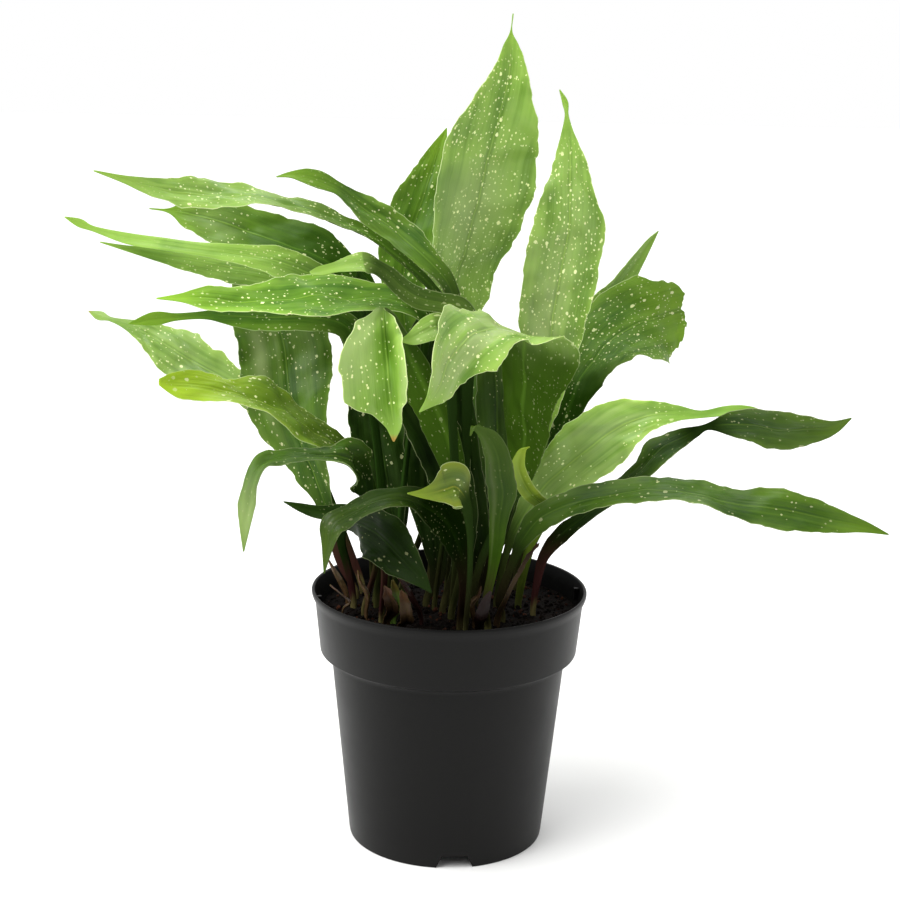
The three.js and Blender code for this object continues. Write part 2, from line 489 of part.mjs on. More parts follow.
// Stations are split into a path, half-widths and turns, after two that stand in the compost.
function prepare(leaf) {
  const [x, y] = leaf.root;
  const turn = leaf.stations[0][4];
  const all = [
    [x, y, stemFoot, stemHalfWidth, turn],
    [x, y, stemCollar, stemHalfWidth, turn],
    ...leaf.stations,
  ];
  const column = (i) => all.map((station) => station[i]);
  return {
    stem: stemThickness,
    ...leaf,
    path: [column(0), column(1), column(2)],
    widths: column(3),
    turns: column(4),
  };
}

function addMesh(parent, name, geometry, color, roughness) {
  const material = new THREE.MeshStandardMaterial({ color, roughness, metalness: 0 });
  const mesh = new THREE.Mesh(geometry, material);
  mesh.name = name;
  parent.add(mesh);
}

const plant = new THREE.Group();
const blades = [...leaves, ...shootsAndSheaths];
addMesh(plant, "pot", toGeometry(potSolid()), 0x1b1b1c, 0.55);
addMesh(plant, "compost", toGeometry(compostSolid(blades.map((leaf) => leaf.root))), 0x1c1310, 1);
for (const leaf of blades) {
  addMesh(plant, leaf.name, leafGeometry(prepare(leaf)), shades[leaf.shade], 0.5);
}

// The origin is the middle of the whole object's box, at the level of the pot's foot.
const middle = new THREE.Box3().setFromObject(plant).getCenter(new THREE.Vector3());
plant.position.set(-middle.x, -middle.y, 0);

const group = new THREE.Group();
group.add(plant);

export default group;
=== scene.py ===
import math

import bpy
import numpy as np
from mathutils import Matrix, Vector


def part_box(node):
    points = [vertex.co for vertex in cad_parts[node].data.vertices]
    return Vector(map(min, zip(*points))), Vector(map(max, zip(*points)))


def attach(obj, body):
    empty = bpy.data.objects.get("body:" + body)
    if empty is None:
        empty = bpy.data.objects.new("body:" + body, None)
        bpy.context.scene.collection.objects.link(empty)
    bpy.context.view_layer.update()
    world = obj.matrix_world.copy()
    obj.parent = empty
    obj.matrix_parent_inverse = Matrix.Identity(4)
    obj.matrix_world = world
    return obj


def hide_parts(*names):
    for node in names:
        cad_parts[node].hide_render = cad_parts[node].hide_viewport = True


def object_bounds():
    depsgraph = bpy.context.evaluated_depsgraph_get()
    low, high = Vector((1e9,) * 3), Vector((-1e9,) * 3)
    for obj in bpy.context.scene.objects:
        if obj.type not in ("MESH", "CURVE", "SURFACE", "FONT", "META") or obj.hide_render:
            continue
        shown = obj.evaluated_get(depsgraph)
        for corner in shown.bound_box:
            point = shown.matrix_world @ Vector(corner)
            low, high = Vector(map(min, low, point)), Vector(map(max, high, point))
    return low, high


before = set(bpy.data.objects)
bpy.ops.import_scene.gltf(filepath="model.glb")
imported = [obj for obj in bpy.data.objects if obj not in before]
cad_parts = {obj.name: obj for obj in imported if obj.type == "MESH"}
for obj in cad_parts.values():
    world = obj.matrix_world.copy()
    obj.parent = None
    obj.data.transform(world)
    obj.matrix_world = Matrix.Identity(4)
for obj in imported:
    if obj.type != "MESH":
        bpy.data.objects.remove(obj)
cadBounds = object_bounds()

mm = 0.001
potLow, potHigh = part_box("pot")
potAxis = np.array([(potLow.x + potHigh.x) / 2, (potLow.y + potHigh.y) / 2, 0.0])
print("frame loaded, pot axis at", potAxis.round(4))


class Wire:  # a node's socket that sums can be written with
    def __init__(self, tree, socket):
        self.tree = tree
        self.socket = socket

    def __add__(self, other):
        return self.tree.math("ADD", self, other)

    def __radd__(self, other):
        return self.tree.math("ADD", other, self)

    def __sub__(self, other):
        return self.tree.math("SUBTRACT", self, other)

    def __rsub__(self, other):
        return self.tree.math("SUBTRACT", other, self)

    def __mul__(self, other):
        return self.tree.math("MULTIPLY", self, other)

    def __rmul__(self, other):
        return self.tree.math("MULTIPLY", other, self)

    def __truediv__(self, other):
        return self.tree.math("DIVIDE", self, other)

    def __rtruediv__(self, other):
        return self.tree.math("DIVIDE", other, self)

    def __pow__(self, other):
        return self.tree.math("POWER", self, other)

    def __rpow__(self, other):
        return self.tree.math("POWER", other, self)

    def __abs__(self):
        return self.tree.math("ABSOLUTE", self)

    def least(self, other):
        return self.tree.math("MINIMUM", self, other)

    def most(self, other):
        return self.tree.math("MAXIMUM", self, other)

    def rise(self, low, high):  # 0 at low, 1 at high, smooth between; low may be the higher one
        return self.tree.node("ShaderNodeMapRange", {"interpolation_type": "SMOOTHSTEP"},
                              {"Value": self, "From Min": low, "From Max": high})

    def other(self, name):  # another output of the same node
        return Wire(self.tree, self.socket.node.outputs[name])


class Tree:  # builds a material's or a modifier's nodes
    def __init__(self, nodeTree):
        self.made = nodeTree

    def node(self, kind, settings=None, values=None, out=0):
        node = self.made.nodes.new(kind)
        for name, value in (settings or {}).items():
            setattr(node, name, value)
        for name, value in (values or {}).items():
            for item in value if isinstance(value, list) else [value]:
                if isinstance(item, Wire):
                    self.made.links.new(item.socket, node.inputs[name])
                else:
                    node.inputs[name].default_value = item
        return Wire(self, node.outputs[out]) if node.outputs else None

    def math(self, operation, first, second=0.0):
        return self.node("ShaderNodeMath", {"operation": operation}, {0: first, 1: second})

    def mix(self, factor, first, second):
        first, second = [(*c, 1) if isinstance(c, tuple) else c for c in (first, second)]
        return self.node("ShaderNodeMix", {"data_type": "RGBA"}, {0: factor, 6: first, 7: second}, out=2)

    def noise(self, place, scale, detail, rough=0.5, kind="3D"):
        return self.node("ShaderNodeTexNoise", {"noise_dimensions": kind},
                         {"Vector": place, "Scale": scale, "Detail": detail, "Roughness": rough})

    def stretched(self, place, scale):
        return self.node("ShaderNodeMapping", {}, {"Vector": place, "Scale": scale})

    def bump(self, strength, distance, height):
        return self.node("ShaderNodeBump", {}, {"Strength": strength, "Distance": distance,
                                                "Height": height})

    def attribute(self, name):
        return self.node("ShaderNodeAttribute", {"attribute_name": name}, out=2)

    def objectPlace(self):  # a piece's Object coordinates
        return self.node("ShaderNodeTexCoord", out=3)

    def vector(self, x, y, z):
        return self.node("ShaderNodeCombineXYZ", {}, {0: x, 1: y, 2: z})

    def parts(self, vector):
        split = self.node("ShaderNodeSeparateXYZ", {}, {0: vector})
        return [split.other(name) for name in "XYZ"]

    def moved(self, geometry, place, how="Position"):
        return self.node("GeometryNodeSetPosition", {}, {"Geometry": geometry, how: place})

    def real(self, instances):
        return self.node("GeometryNodeRealizeInstances", {}, {"Geometry": instances})

    def random(self, low, high, seed):
        return self.node("FunctionNodeRandomValue", {"data_type": "FLOAT"}, {2: low, 3: high, 8: seed},
                         out=1)


def newMaterial(name):
    material = bpy.data.materials.new(name)
    material.use_nodes = True
    material.node_tree.nodes.clear()
    return material, Tree(material.node_tree)


def surface(tree, values, dull=None):  # dull: where the surface is too shaded to gleam
    shader = tree.node("ShaderNodeBsdfPrincipled", {}, values)
    if dull is not None:
        flat = {**values, "Specular IOR Level": 0.0, "Subsurface Weight": 0.0}
        shader = tree.node("ShaderNodeMixShader", {}, {
            0: dull, 1: shader, 2: tree.node("ShaderNodeBsdfPrincipled", {}, flat)})
    tree.node("ShaderNodeOutputMaterial", {}, {"Surface": shader})


def meshObject(name, vertices, faces, material=None, edges=()):
    mesh = bpy.data.meshes.new(name)
    mesh.from_pydata(vertices.tolist(), edges, faces)
    if material:
        mesh.materials.append(material)
    made = bpy.data.objects.new(name, mesh)
    bpy.context.scene.collection.objects.link(made)
    return made


def newGroup(name, sizes):  # a geometry node group with a named input for each size, whole or not
    group = bpy.data.node_groups.new(name, "GeometryNodeTree")
    group.interface.new_socket("Geometry", in_out="INPUT", socket_type="NodeSocketGeometry")
    for label, size in sizes.items():
        kind = "NodeSocketInt" if isinstance(size, int) else "NodeSocketFloat"
        group.interface.new_socket(label, in_out="INPUT", socket_type=kind)
    group.interface.new_socket("Geometry", in_out="OUTPUT", socket_type="NodeSocketGeometry")
    tree = Tree(group)
    source = group.nodes.new("NodeGroupInput")
    return tree, {socket.name: Wire(tree, socket) for socket in source.outputs if socket.name}


def endGroup(tree, whole, material):
    whole = tree.node("GeometryNodeSetMaterial", {}, {"Geometry": tree.real(whole), "Material": material})
    tree.node("NodeGroupOutput", {}, {"Geometry": whole})
    return tree.made


def profileObject(name, profile, group, sizes):  # what the group makes of a profile, as a plain mesh
    vertices = np.array([(radius * mm, 0, height * mm) for radius, height in profile])
    made = meshObject(name, vertices, [], edges=[(i, i + 1) for i in range(len(vertices) - 1)])
    modifier = made.modifiers.new(group.name, "NODES")
    modifier.node_group = group
    for item in group.interface.items_tree:
        if item.in_out == "INPUT" and item.name in sizes:
            modifier[item.identifier] = sizes[item.name]
    made.update_tag()
    evaluated = made.evaluated_get(bpy.context.evaluated_depsgraph_get())
    mesh = bpy.data.meshes.new_from_object(evaluated)
    made.modifiers.clear()
    made.data = mesh
    made.data.transform(Matrix.Translation(potAxis))
    return made


# Every leaf starts at its root, x and y, in the compost. Its stations hold x, y and z of the
# midrib and half the blade's width, in millimetres from the pot's axis, and the blade's turn in
# degrees. The rest of what a leaf may say:
#   side, fold, cup, skew   where its right border points in degrees, how steep its two halves
#                           rise, how much they curl up, how much wider the right one is
#   stem, wavy, torn        the stem's thickness, how strong the waves are, how far its end is torn
#   kinks                   places along it, -1 left or 1 right, how far the border goes out and
#                           up there, over what length
#   dents                   places along it, from -1 left to 1 right, how deep, how far they reach
#                           along it and across, how much painted shade (below 0, painted sheen) they get
#   low, span               up to where it is in the shade of the others, how softly that ends
#   tone, spots, pale       how light its colour is (its own green with painted light and shade),
#                           the strength of its speckles, of its painted sheen
#   burn, stalk, foot       how burnt its tip, how much its stem takes the stalk colour (a painted
#                           shade on green leaves), how purple its foot is
# The sizes below are in millimetres, but for shares of the half-width (ribWidth, crease, softCrease,
# bordersAt, innerAt, ripple, edge) and of the way to the tip (stemEnds, stemFades).
stem = dict(foot=140, collar=166, halfWidth=2.2, thickness=3.4)
blade = dict(thickness=0.62, midrib=0.5, ribWidth=0.12, narrowest=0.35, stemHalf=4, openHalf=12,
             crease=0.1, softCrease=0.08, rowsPerSpan=10, strips=36, bordersAt=0.99, innerAt=0.965,
             ripple=0.05, nicks=1.25, nickWave=40, edge=0.02, edgeWave=120, tearWave=22, tearReach=45,
             swellHalf=14, swellMost=1.6, pleat=0.22, pleatTwist=160, fleshyHalf=3, thinHalf=8,
             stemEnds=0.75, stemFades=0.2, clear=0.01)
swells = ((75, 0.8, 1.1), (38, 1.3, 0.7), (19, 2.1, 0.35))  # reach along, waves across, height
leafUsual = dict(side=90, fold=0.15, cup=0, skew=0, stem=stem["thickness"], wavy=1, torn=0, kinks=[],
                 dents=[], low=110, span=0, tone=1.0, spots=1.0, pale=0.12, burn=0, stalk=0.88, foot=0.35)
sheathUsual = dict(leafUsual, look="husk", fold=0.5, torn=1.5, low=20)

leaves = {
    "tall_centre": dict(look="light", root=[-2, 36], side=0, fold=0.25, low=170, tone=1.03, spots=1.7,
        pale=0.15, dents=[[300, -0.1, 0, 34, 0.8, -0.8], [350, 0.5, 0, 30, 0.4, 0.15]],
        stations=[[4, 46, 245, 3, 20], [-3, 53, 320, 6, 30], [-3, 57, 370, 24, 30], [6, 54, 407, 30, 30],
        [14, 49, 440, 34, 20], [21, 44, 473, 34, 15], [28, 41, 500, 25, 15], [33, 41, 525, 13, 15],
        [34, 42, 542, 6.5, 12], [34, 44, 553, 0.9, 10], [35, 45, 565, 0.4, 0]]),
    "tall_right": dict(look="light", root=[10, 22], side=0, fold=0.2, low=60, tone=0.92, spots=1.6, pale=0.2,
        dents=[[228, -0.3, 0, 52, 0.6, -1], [300, 0.3, 0, 40, 0.5, -0.4]],
        stations=[[38, 22, 210, 3, 5], [56, 22, 285, 11, 0], [64, 22, 328, 16, -10], [67, 21, 363, 23, -10],
        [72, 20, 400, 25, -5], [76, 19, 428, 24, -10], [76, 19, 452, 17.5, -20], [75, 20, 473, 11, -30],
        [73, 22, 489, 4.5, -30], [72, 24, 500, 1.4, -30], [71, 26, 508, 2.6, -50], [67, 29, 516, 0.5, -60]]),
    "behind_centre": dict(look="middle", root=[-15, 56], side=0, fold=0.2, low=170, tone=0.95, pale=0.1,
        stations=[[-12, 80, 220, 3, 0], [-26, 92, 290, 5, 0], [-37, 101, 342, 10, 0], [-39, 108, 377, 17, 0],
        [-35, 113, 407, 21, 0], [-26, 120, 435, 19, 0], [-16, 127, 468, 7, 0], [-10, 131, 485, 0.4, 0]]),
    "right_broad_back": dict(look="middle", root=[36, 34], side=-45, fold=0.12, torn=3.5, low=250, span=130,
        tone=0.85, spots=1.6, pale=0.1, foot=0.5, kinks=[[186, 1, 2, 0, 10], [215, 1, 3, 0, 9],
        [262, 1, 3, 0, 9], [270, -1, 3, 0, 8]],
        stations=[[66, 46, 245, 3, 20], [83, 64, 297, 13, 20], [96, 80, 320, 20, 10], [113, 97, 338, 31, 20],
        [134, 113, 347, 34, 50], [152, 124, 352, 27, 70], [161, 131, 354, 21, 75], [168, 136, 355, 13, 80]]),
    "right_narrow_back": dict(look="light", root=[46, 44], side=0, fold=0.3, tone=0.85, spots=0.7,
        stations=[[64, 71, 238, 3, 10], [87, 108, 302, 5, 15], [104, 146, 346, 10, 15],
        [124, 159, 372, 8, 30], [142, 171, 398, 4, 40], [151, 176, 409, 0.4, 40]]),
    "right_arching": dict(look="light", root=[33, 5], side=-90, low=60, tone=1.16, spots=0.6, pale=0.45,
        dents=[[176, 0, 0, 26, 2, -0.15], [225, 0.3, 0, 25, 0.8, 0.4], [120, 0, 0, 36, 2, 0.1],
        [284, 0, 0, 30, 2, 0.75]],
        stations=[[41, 8, 207, 3, 60], [61, 8, 245, 12, 70], [76, 5, 262, 18, 75], [94, 0, 279, 22, 75],
        [112, -3, 294, 19, 75], [132, -5, 303, 11, 70], [150, -5, 305, 6, 60], [168, -2, 304, 3, 45],
        [188, 2, 306, 5, 30], [204, 5, 305, 5, 25], [214, 6, 302, 0.4, 25]]),
    "right_twisted": dict(look="middle", root=[58, -12], side=-90, fold=0.1, low=190, tone=0.52, spots=0.5,
        pale=0, foot=1,
        stations=[[60, -11, 184, 3, 35], [65, -9, 205, 5, 35], [78, -8, 221, 8, 30], [95, -5, 234, 6, 30],
        [112, -2, 248, 9, 30], [130, 0, 264, 9.5, 30], [141, 2, 277, 13, 35], [154, 2, 285, 9, 35],
        [164, -3, 292, 4, 55], [174, -10, 298, 3, 90], [195, -20, 302, 15, 120], [214, -25, 301, 18, 125],
        [233, -30, 301, 13, 120], [249, -35, 304, 6, 110], [261, -38, 311, 0.4, 110]]),
    "right_long": dict(look="middle", root=[37, -27], side=-90, fold=0.2, low=95, tone=0.6, spots=0.5,
        pale=0,
        stations=[[35, -33, 181, 3, 50], [44, -35, 210, 3, 60], [50, -37, 225, 6, 65], [61, -41, 240, 9, 60],
        [83, -46, 252, 10, 45], [111, -55, 261, 11, 30], [139, -65, 266, 12, 25], [162, -74, 266, 12, 25],
        [185, -81, 262, 11, 45], [213, -88, 261, 13, 70], [238, -92, 257, 9, 75], [260, -97, 254, 4, 75],
        [276, -100, 250, 0.4, 75]]),
    "right_small_curled": dict(look="olive", root=[48, 4], side=0, fold=0.3, low=50, tone=1.5, stalk=0.3,
        stations=[[54, -6, 206, 3, 0], [63, -18, 234, 4, 0], [61, -28, 247, 5.5, 5], [54, -36, 255, 6, 5],
        [48, -44, 265, 5.5, 5], [44, -50, 276, 5, 5], [45, -54, 285, 3.6, 10], [47, -57, 290, 2.4, 10],
        [51, -59, 292, 0.5, 10]]),
    "front_flap": dict(look="light", root=[14, -20], side=180, fold=0.1, low=262, span=70, pale=0.8,
        kinks=[[230, -1, 3, 2, 9], [249, -1, 6, 8, 12], [269, -1, 3, 3, 10], [308, -1, 3, 0, 9]],
        dents=[[255, 0.3, 0, 30, 0.7, -0.4]],
        stations=[[22, -22, 205, 3, -45], [38, -22, 242, 4, -45], [47, -22, 263, 9, -45],
        [48, -22, 288, 20, -50], [48, -25, 315, 30, -55], [47, -33, 340, 38, -55], [44, -50, 363, 35, -30],
        [29, -76, 371, 20, -24], [12, -106, 371, 24.5, -38], [0, -126, 359, 17, -50],
        [-6, -139, 346, 10.5, -55], [-11, -149, 339, 4.5, -60], [-17, -154, 333, 0.4, -60]]),
    "front_cup": dict(look="light", root=[2, -26], side=180, cup=0.5, skew=0.4, low=268, span=60, tone=1.05,
        spots=0.8, pale=0.4, burn=1, kinks=[[341, 1, 3, 0, 9], [343, -1, 1, 0, 6], [284, -1, -5, 0, 18],
        [306, -1, 3, -7, 9]], dents=[[312, -0.2, 9, 20, 0.38, 1], [332, -0.85, -5, 24, 0.3, -0.7],
        [312, 0.8, 0, 24, 0.4, -0.8], [350, 0.4, 0, 14, 0.9, 0.4], [322, 0.25, 0, 20, 0.4, 0.25]],
        stations=[[11, -31, 216, 3, 20], [6, -35, 258, 7, 10], [-3, -42, 296, 11, 0], [-16, -54, 327, 12, 0],
        [-26, -68, 350, 9, 0], [-34, -86, 370, 5, 0], [-40, -102, 384, 4.5, 0], [-41, -113, 386, 5, 0],
        [-40, -122, 379, 11, 0], [-39, -128, 371, 15, 0], [-38, -132, 363, 18.5, 0], [-37, -134, 355, 20, 0],
        [-36, -135, 345, 19, 0], [-35, -135, 336, 15.5, 0], [-34, -135, 329, 9, 5], [-33, -134, 321, 5.5, 5],
        [-33, -132, 310, 0.5, 5]]),
    "left_long_top": dict(look="light", root=[-10, -6], low=420, span=190, tone=0.9, pale=0.1,
        kinks=[[290, 1, 2, 0, 7], [392, -1, 2, 0, 8], [433, -1, 2, 0, 7]],
        stations=[[-1, -7, 256, 3, -20], [-2, -8, 332, 3.5, -20], [-5, -6, 369, 6, -20],
        [-16, -5, 387, 6, -20], [-37, -6, 406, 8, -15], [-56, -6, 419, 11, -10], [-83, -8, 432, 13, -10],
        [-111, -15, 440, 15, -10], [-140, -23, 446, 15, -20], [-164, -33, 447, 13, -40],
        [-188, -44, 451, 8, -50], [-207, -52, 457, 3, -60], [-227, -57, 463, 0.4, -60]]),
    "left_upper_behind": dict(look="middle", root=[-14, 24], low=235, span=120, tone=0.9, pale=0.1,
        stations=[[-2, 29, 247, 3, -45], [0, 29, 325, 3.5, -45], [0, 18, 366, 6, -45], [-6, 12, 389, 7, -45],
        [-24, 14, 407, 12, -45], [-41, 21, 420, 13, -45], [-57, 19, 432, 12, -45], [-70, 16, 442, 7.5, -45],
        [-79, 12, 449, 5, -50], [-89, 9, 454, 6.5, -55], [-100, 7, 457, 6, -50], [-110, 5, 458, 3, -40],
        [-119, 2, 457, 0.4, -35]]),
    "left_back_broad": dict(look="middle", root=[-35, 40], low=400, span=230, tone=1.05, pale=0.05,
        dents=[[318, 0.2, 0, 26, 0.8, 0.4], [372, -0.2, 0, 26, 0.9, -0.4]],
        stations=[[-17, 58, 225, 3, -45], [-35, 68, 296, 4, -45], [-54, 78, 353, 8, -45],
        [-76, 86, 380, 15, -45], [-106, 94, 396, 21, -50], [-140, 103, 406, 19, -60],
        [-171, 108, 416, 17, -80], [-195, 111, 421, 11, -80], [-210, 113, 423, 2, -80],
        [-225, 116, 424, 0.4, -80]]),
    "left_folded": dict(look="light", root=[-56, 52], low=330, span=180, tone=1.05, pale=0.2,
        stations=[[-60, 58, 235, 3, -60], [-66, 60, 300, 3, -70], [-77, 60, 346, 6, -80],
        [-93, 62, 369, 9, -80], [-110, 62, 380, 12, -80], [-139, 62, 387, 12, -80], [-162, 61, 390, 11, -75],
        [-186, 59, 394, 8.5, -75], [-211, 57, 398, 4.5, -75], [-231, 55, 402, 2, -80],
        [-248, 53, 406, 0.4, -80]]),
    "left_pointed": dict(look="light", root=[-45, 24], fold=0.1, low=330, span=180, tone=1.12, pale=0.2,
        stations=[[-33, 35, 230, 3, -60], [-51, 41, 301, 3, -70], [-72, 44, 355, 7, -80],
        [-90, 43, 381, 9, -80], [-116, 42, 394, 11, -80], [-144, 43, 400, 7.5, -75], [-175, 45, 403, 5, -70],
        [-203, 48, 406, 4.5, -70], [-228, 51, 409, 4, -75], [-252, 53, 415, 2, -80], [-262, 53, 419, 3, -80],
        [-272, 52, 423, 0.4, -80]]),
    "left_middle": dict(look="middle", root=[-38, -16], low=330, span=200, tone=1.5, pale=0.15, stalk=0.6,
        dents=[[318, -0.1, 0, 38, 0.7, 0.4]],
        stations=[[-34, -13, 229, 3, -25], [-27, -8, 304, 3, -25], [-20, -11, 349, 7, -25],
        [-19, -20, 370, 13, -25], [-40, -30, 381, 14, -20], [-66, -41, 384, 21, -25],
        [-91, -52, 384, 25, -25], [-113, -61, 384, 18, -25], [-134, -69, 384, 12, -35],
        [-154, -77, 386, 10, -40], [-168, -81, 387, 4, -40], [-184, -84, 387, 0.4, -40]]),
    "centre_pale_twist": dict(look="light", root=[2, -20], low=225, span=60, tone=0.9, pale=0.5,
        stations=[[9, -22, 260, 3, -60], [10, -22, 328, 4, -80], [10, -24, 362, 7, -85],
        [5, -26, 377, 6.5, -85], [-9, -28, 380, 6.5, -85], [-22, -31, 383, 7, -85],
        [-33, -36, 390, 6.5, -80], [-42, -42, 399, 5.5, -70], [-50, -48, 405, 5, -60],
        [-57, -53, 408, 8, -50], [-66, -56, 407, 6.5, -45], [-75, -58, 405, 4.2, -45],
        [-84, -62, 403, 3.8, -45], [-90, -65, 402, 1.6, -40]]),
    "centre_small_tip": dict(look="light", root=[11, -33], low=225, span=60, tone=0.95, pale=0.8,
        stations=[[9, -42, 205, 3, -40], [4, -55, 262, 3, -50], [1, -60, 309, 3, -60],
        [-1, -66, 342, 4, -70], [-3, -72, 362, 6, -70], [-8, -80, 372, 8.5, -65], [-16, -86, 370, 8, -60],
        [-24, -90, 366, 5, -55], [-32, -93, 365, 0.4, -55]]),
    "left_low_back": dict(look="light", root=[-62, 30], low=230, span=120, tone=0.83, spots=1.1, pale=0.2,
        burn=0.6, stalk=0.6, foot=1, kinks=[[234, 1, 3, 0, 8], [262, 1, 2.5, 0, 8], [222, -1, 2, 0, 7]],
        dents=[[262, 0, 0, 14, 1.5, -0.25], [236, 0.2, 0, 14, 0.7, 0.2]],
        stations=[[-76, 49, 196, 3, -80], [-98, 74, 238, 3.5, -80], [-125, 94, 266, 6, -80],
        [-148, 108, 285, 9, -80], [-169, 119, 297, 12.5, -80], [-192, 130, 306, 17.5, -80],
        [-213, 138, 316, 17.5, -70], [-233, 143, 327, 11, -55], [-248, 146, 333, 5, -50],
        [-262, 148, 337, 2, -50], [-271, 151, 339, 4, -50], [-280, 154, 342, 0.4, -50]]),
    "left_under_middle": dict(look="middle", root=[-50, -3], low=300, span=200, tone=1.1, pale=0.15,
        stalk=0.5,
        stations=[[-47, -5, 240, 3, -60], [-54, -4, 303, 3, -70], [-61, -3, 337, 7, -80],
        [-72, -2, 359, 8.5, -80], [-96, -4, 365, 9, -80], [-122, -8, 365, 9.5, -80],
        [-145, -13, 366, 7, -80], [-163, -17, 367, 3, -80], [-182, -21, 366, 2.5, -80],
        [-197, -25, 365, 4.5, -80], [-213, -29, 362, 0.4, -80]]),
    "left_big_back": dict(look="middle", root=[-66, 18], side=0, low=120, tone=0.72, pale=0.2, foot=0.9,
        dents=[[205, -0.55, 0, 42, 0.16, -1.1], [215, 0.05, 0, 60, 0.16, 0.5], [222, 0.6, 0, 40, 0.2, -0.35],
        [180, 0.85, 0, 60, 0.2, 0.6], [225, -0.15, 0, 50, 0.08, -0.5], [120, 0, 0, 36, 2, 0.35]],
        stations=[[-78, 25, 188, 3, -25], [-88, 30, 225, 6, -25], [-99, 38, 251, 15, -30],
        [-110, 46, 278, 27, -25], [-117, 58, 302, 32, -10], [-122, 74, 329, 33, 10], [-131, 89, 352, 33, 15],
        [-145, 100, 371, 23, 25], [-153, 108, 382, 10, 25], [-159, 113, 390, 0.5, 25]]),
    "left_bright": dict(look="yellow", root=[-58, -17], low=235, span=170, tone=0.9, pale=0.2, stalk=0.5,
        foot=0.9, dents=[[226, 0.1, 0, 24, 0.9, 0.6]],
        stations=[[-49, -27, 204, 3, -25], [-50, -38, 249, 3, -25], [-59, -49, 275, 6, -25],
        [-74, -60, 291, 11, -20], [-92, -76, 305, 21, -10], [-114, -92, 323, 23, -10],
        [-133, -105, 332, 14, -15], [-152, -117, 338, 10.5, -45], [-165, -127, 341, 8.5, -55],
        [-174, -135, 344, 2, -60]]),
    "left_drooping": dict(look="deep", root=[-45, -34], wavy=2.4, low=200, span=120, tone=0.95, pale=0.15,
        stalk=0.6, foot=1, dents=[[272, 0, 0, 22, 1.8, -0.8], [204, 0.4, 0, 16, 0.5, 0.3]],
        stations=[[-43, -49, 211, 3, -35], [-52, -61, 253, 4, -35], [-58, -82, 280, 14, -35],
        [-66, -101, 291, 12, -20], [-83, -114, 296, 7.5, -15], [-101, -126, 297, 8.5, -20],
        [-112, -136, 295, 8, -30], [-117, -146, 286, 6, -45], [-119, -151, 274, 7, -55],
        [-120, -155, 262, 4.5, -55], [-121, -157, 246, 0.4, -55]]),
    "left_dark_low": dict(look="shadow", root=[-52, 8], tone=1.5,
        stations=[[-46, 6, 205, 3, -30], [-53, 0, 228, 4, -30], [-70, -8, 231, 8, -30],
        [-88, -20, 234, 6, -30], [-100, -27, 239, 4, -30], [-111, -33, 245, 0.4, -30]]),
    "front_left_low": dict(look="middle", root=[8, -46], low=175, span=60, tone=0.28, pale=0.1,
        stations=[[11, -48, 198, 5, -50], [7, -58, 222, 9, -50], [-2, -74, 245, 13.5, -45],
        [-14, -92, 258, 13, -35], [-27, -104, 267, 9, -25], [-43, -116, 268, 10, -25],
        [-58, -127, 263, 8, -35], [-69, -135, 257, 9, -50], [-72, -139, 244, 4.5, -50],
        [-74, -142, 229, 0.4, -50]]),
    "low_dark_drooping": dict(look="shadow", root=[-66, -3], side=-90, low=90, tone=0.45, spots=0.6, pale=0,
        stalk=0.5, foot=1,
        stations=[[-69, -11, 192, 3, 60], [-73, -25, 216, 3, 70], [-70, -44, 233, 4.5, 75],
        [-59, -72, 242, 9, 80], [-44, -95, 241, 16, 80], [-31, -108, 232, 14, 80], [-19, -116, 222, 7, 80],
        [-9, -122, 212, 0.4, 80]]),
    "yellow_flap": dict(look="olive", root=[12, -62], low=105, tone=0.95, pale=0.2, stalk=0.95,
        stations=[[14, -67, 202, 3, -15], [14, -76, 232, 3.5, -20], [12, -84, 253, 4, -35],
        [9, -92, 267, 5, -50], [4.5, -98, 274, 14.5, -60], [-1, -103, 274, 12.5, -62],
        [-8, -108, 273, 6.5, -65], [-16, -113, 273, 3, -65], [-25, -117, 274, 0.4, -60]]),
    "front_blade": dict(look="middle", root=[27, -48], side=180, fold=0.25, low=20, tone=0.38, spots=0.4,
        pale=0.3, stalk=0, foot=0.6, dents=[[135, 0.55, -2, 45, 0.18, -0.6], [150, -0.3, 1.5, 60, 0.5, 0.3]],
        stations=[[25, -66, 186, 2.4, -5], [29, -71, 212, 3, -5], [31, -78, 231, 4.5, -2],
        [32, -84, 249, 6, 0], [34, -89, 267, 9, 3], [32, -92, 281, 9, 8], [30, -95, 294, 8, 10],
        [25, -98, 305, 6, 10], [19, -101, 311, 3.2, 10], [15, -104, 314, 1.8, 10],
        [13, -107, 309, 0.4, 10]]),
    "inner_left": dict(look="shadow", root=[-30, 14], side=0, fold=0.2, tone=1.7,
        stations=[[-35, 16, 188, 3, 5], [-45, 16, 253, 13, 5], [-50, 16, 280, 19, 5], [-53, 16, 311, 21, 15],
        [-57, 17, 343, 20, 15], [-61, 19, 371, 13, 10], [-66, 22, 395, 0.5, 10]]),
    "inner_centre": dict(look="shadow", root=[-16, 2], side=0, fold=0.2,
        stations=[[-8, 3, 190, 6, 0], [-15, 5, 240, 14, 0], [-18, 6, 287, 15, 0], [-19, 7, 322, 14, 0],
        [-19, 8, 353, 11, 0], [-17, 9, 375, 0.5, 0]]),
    "inner_diagonal": dict(look="shadow", root=[-4, -12], side=0, fold=0.2,
        stations=[[8, -12, 200, 7, 5], [6, -14, 236, 12, 15], [-3, -18, 268, 17, 30],
        [-14, -22, 294, 19, 35], [-25, -25, 316, 15, 30], [-35, -27, 342, 0.5, 30]]),
    "inner_right": dict(look="deep", root=[18, 6], side=0, fold=0.2, low=170, tone=0.8,
        stations=[[25, 8, 185, 3.5, 10], [30, 9, 230, 12, 10], [31, 9, 285, 15, 12], [28, 7, 330, 13, 10],
        [22, 3, 362, 0.5, 10]]),
    "inner_narrow": dict(look="shadow", root=[10, -2], side=0, fold=0.2,
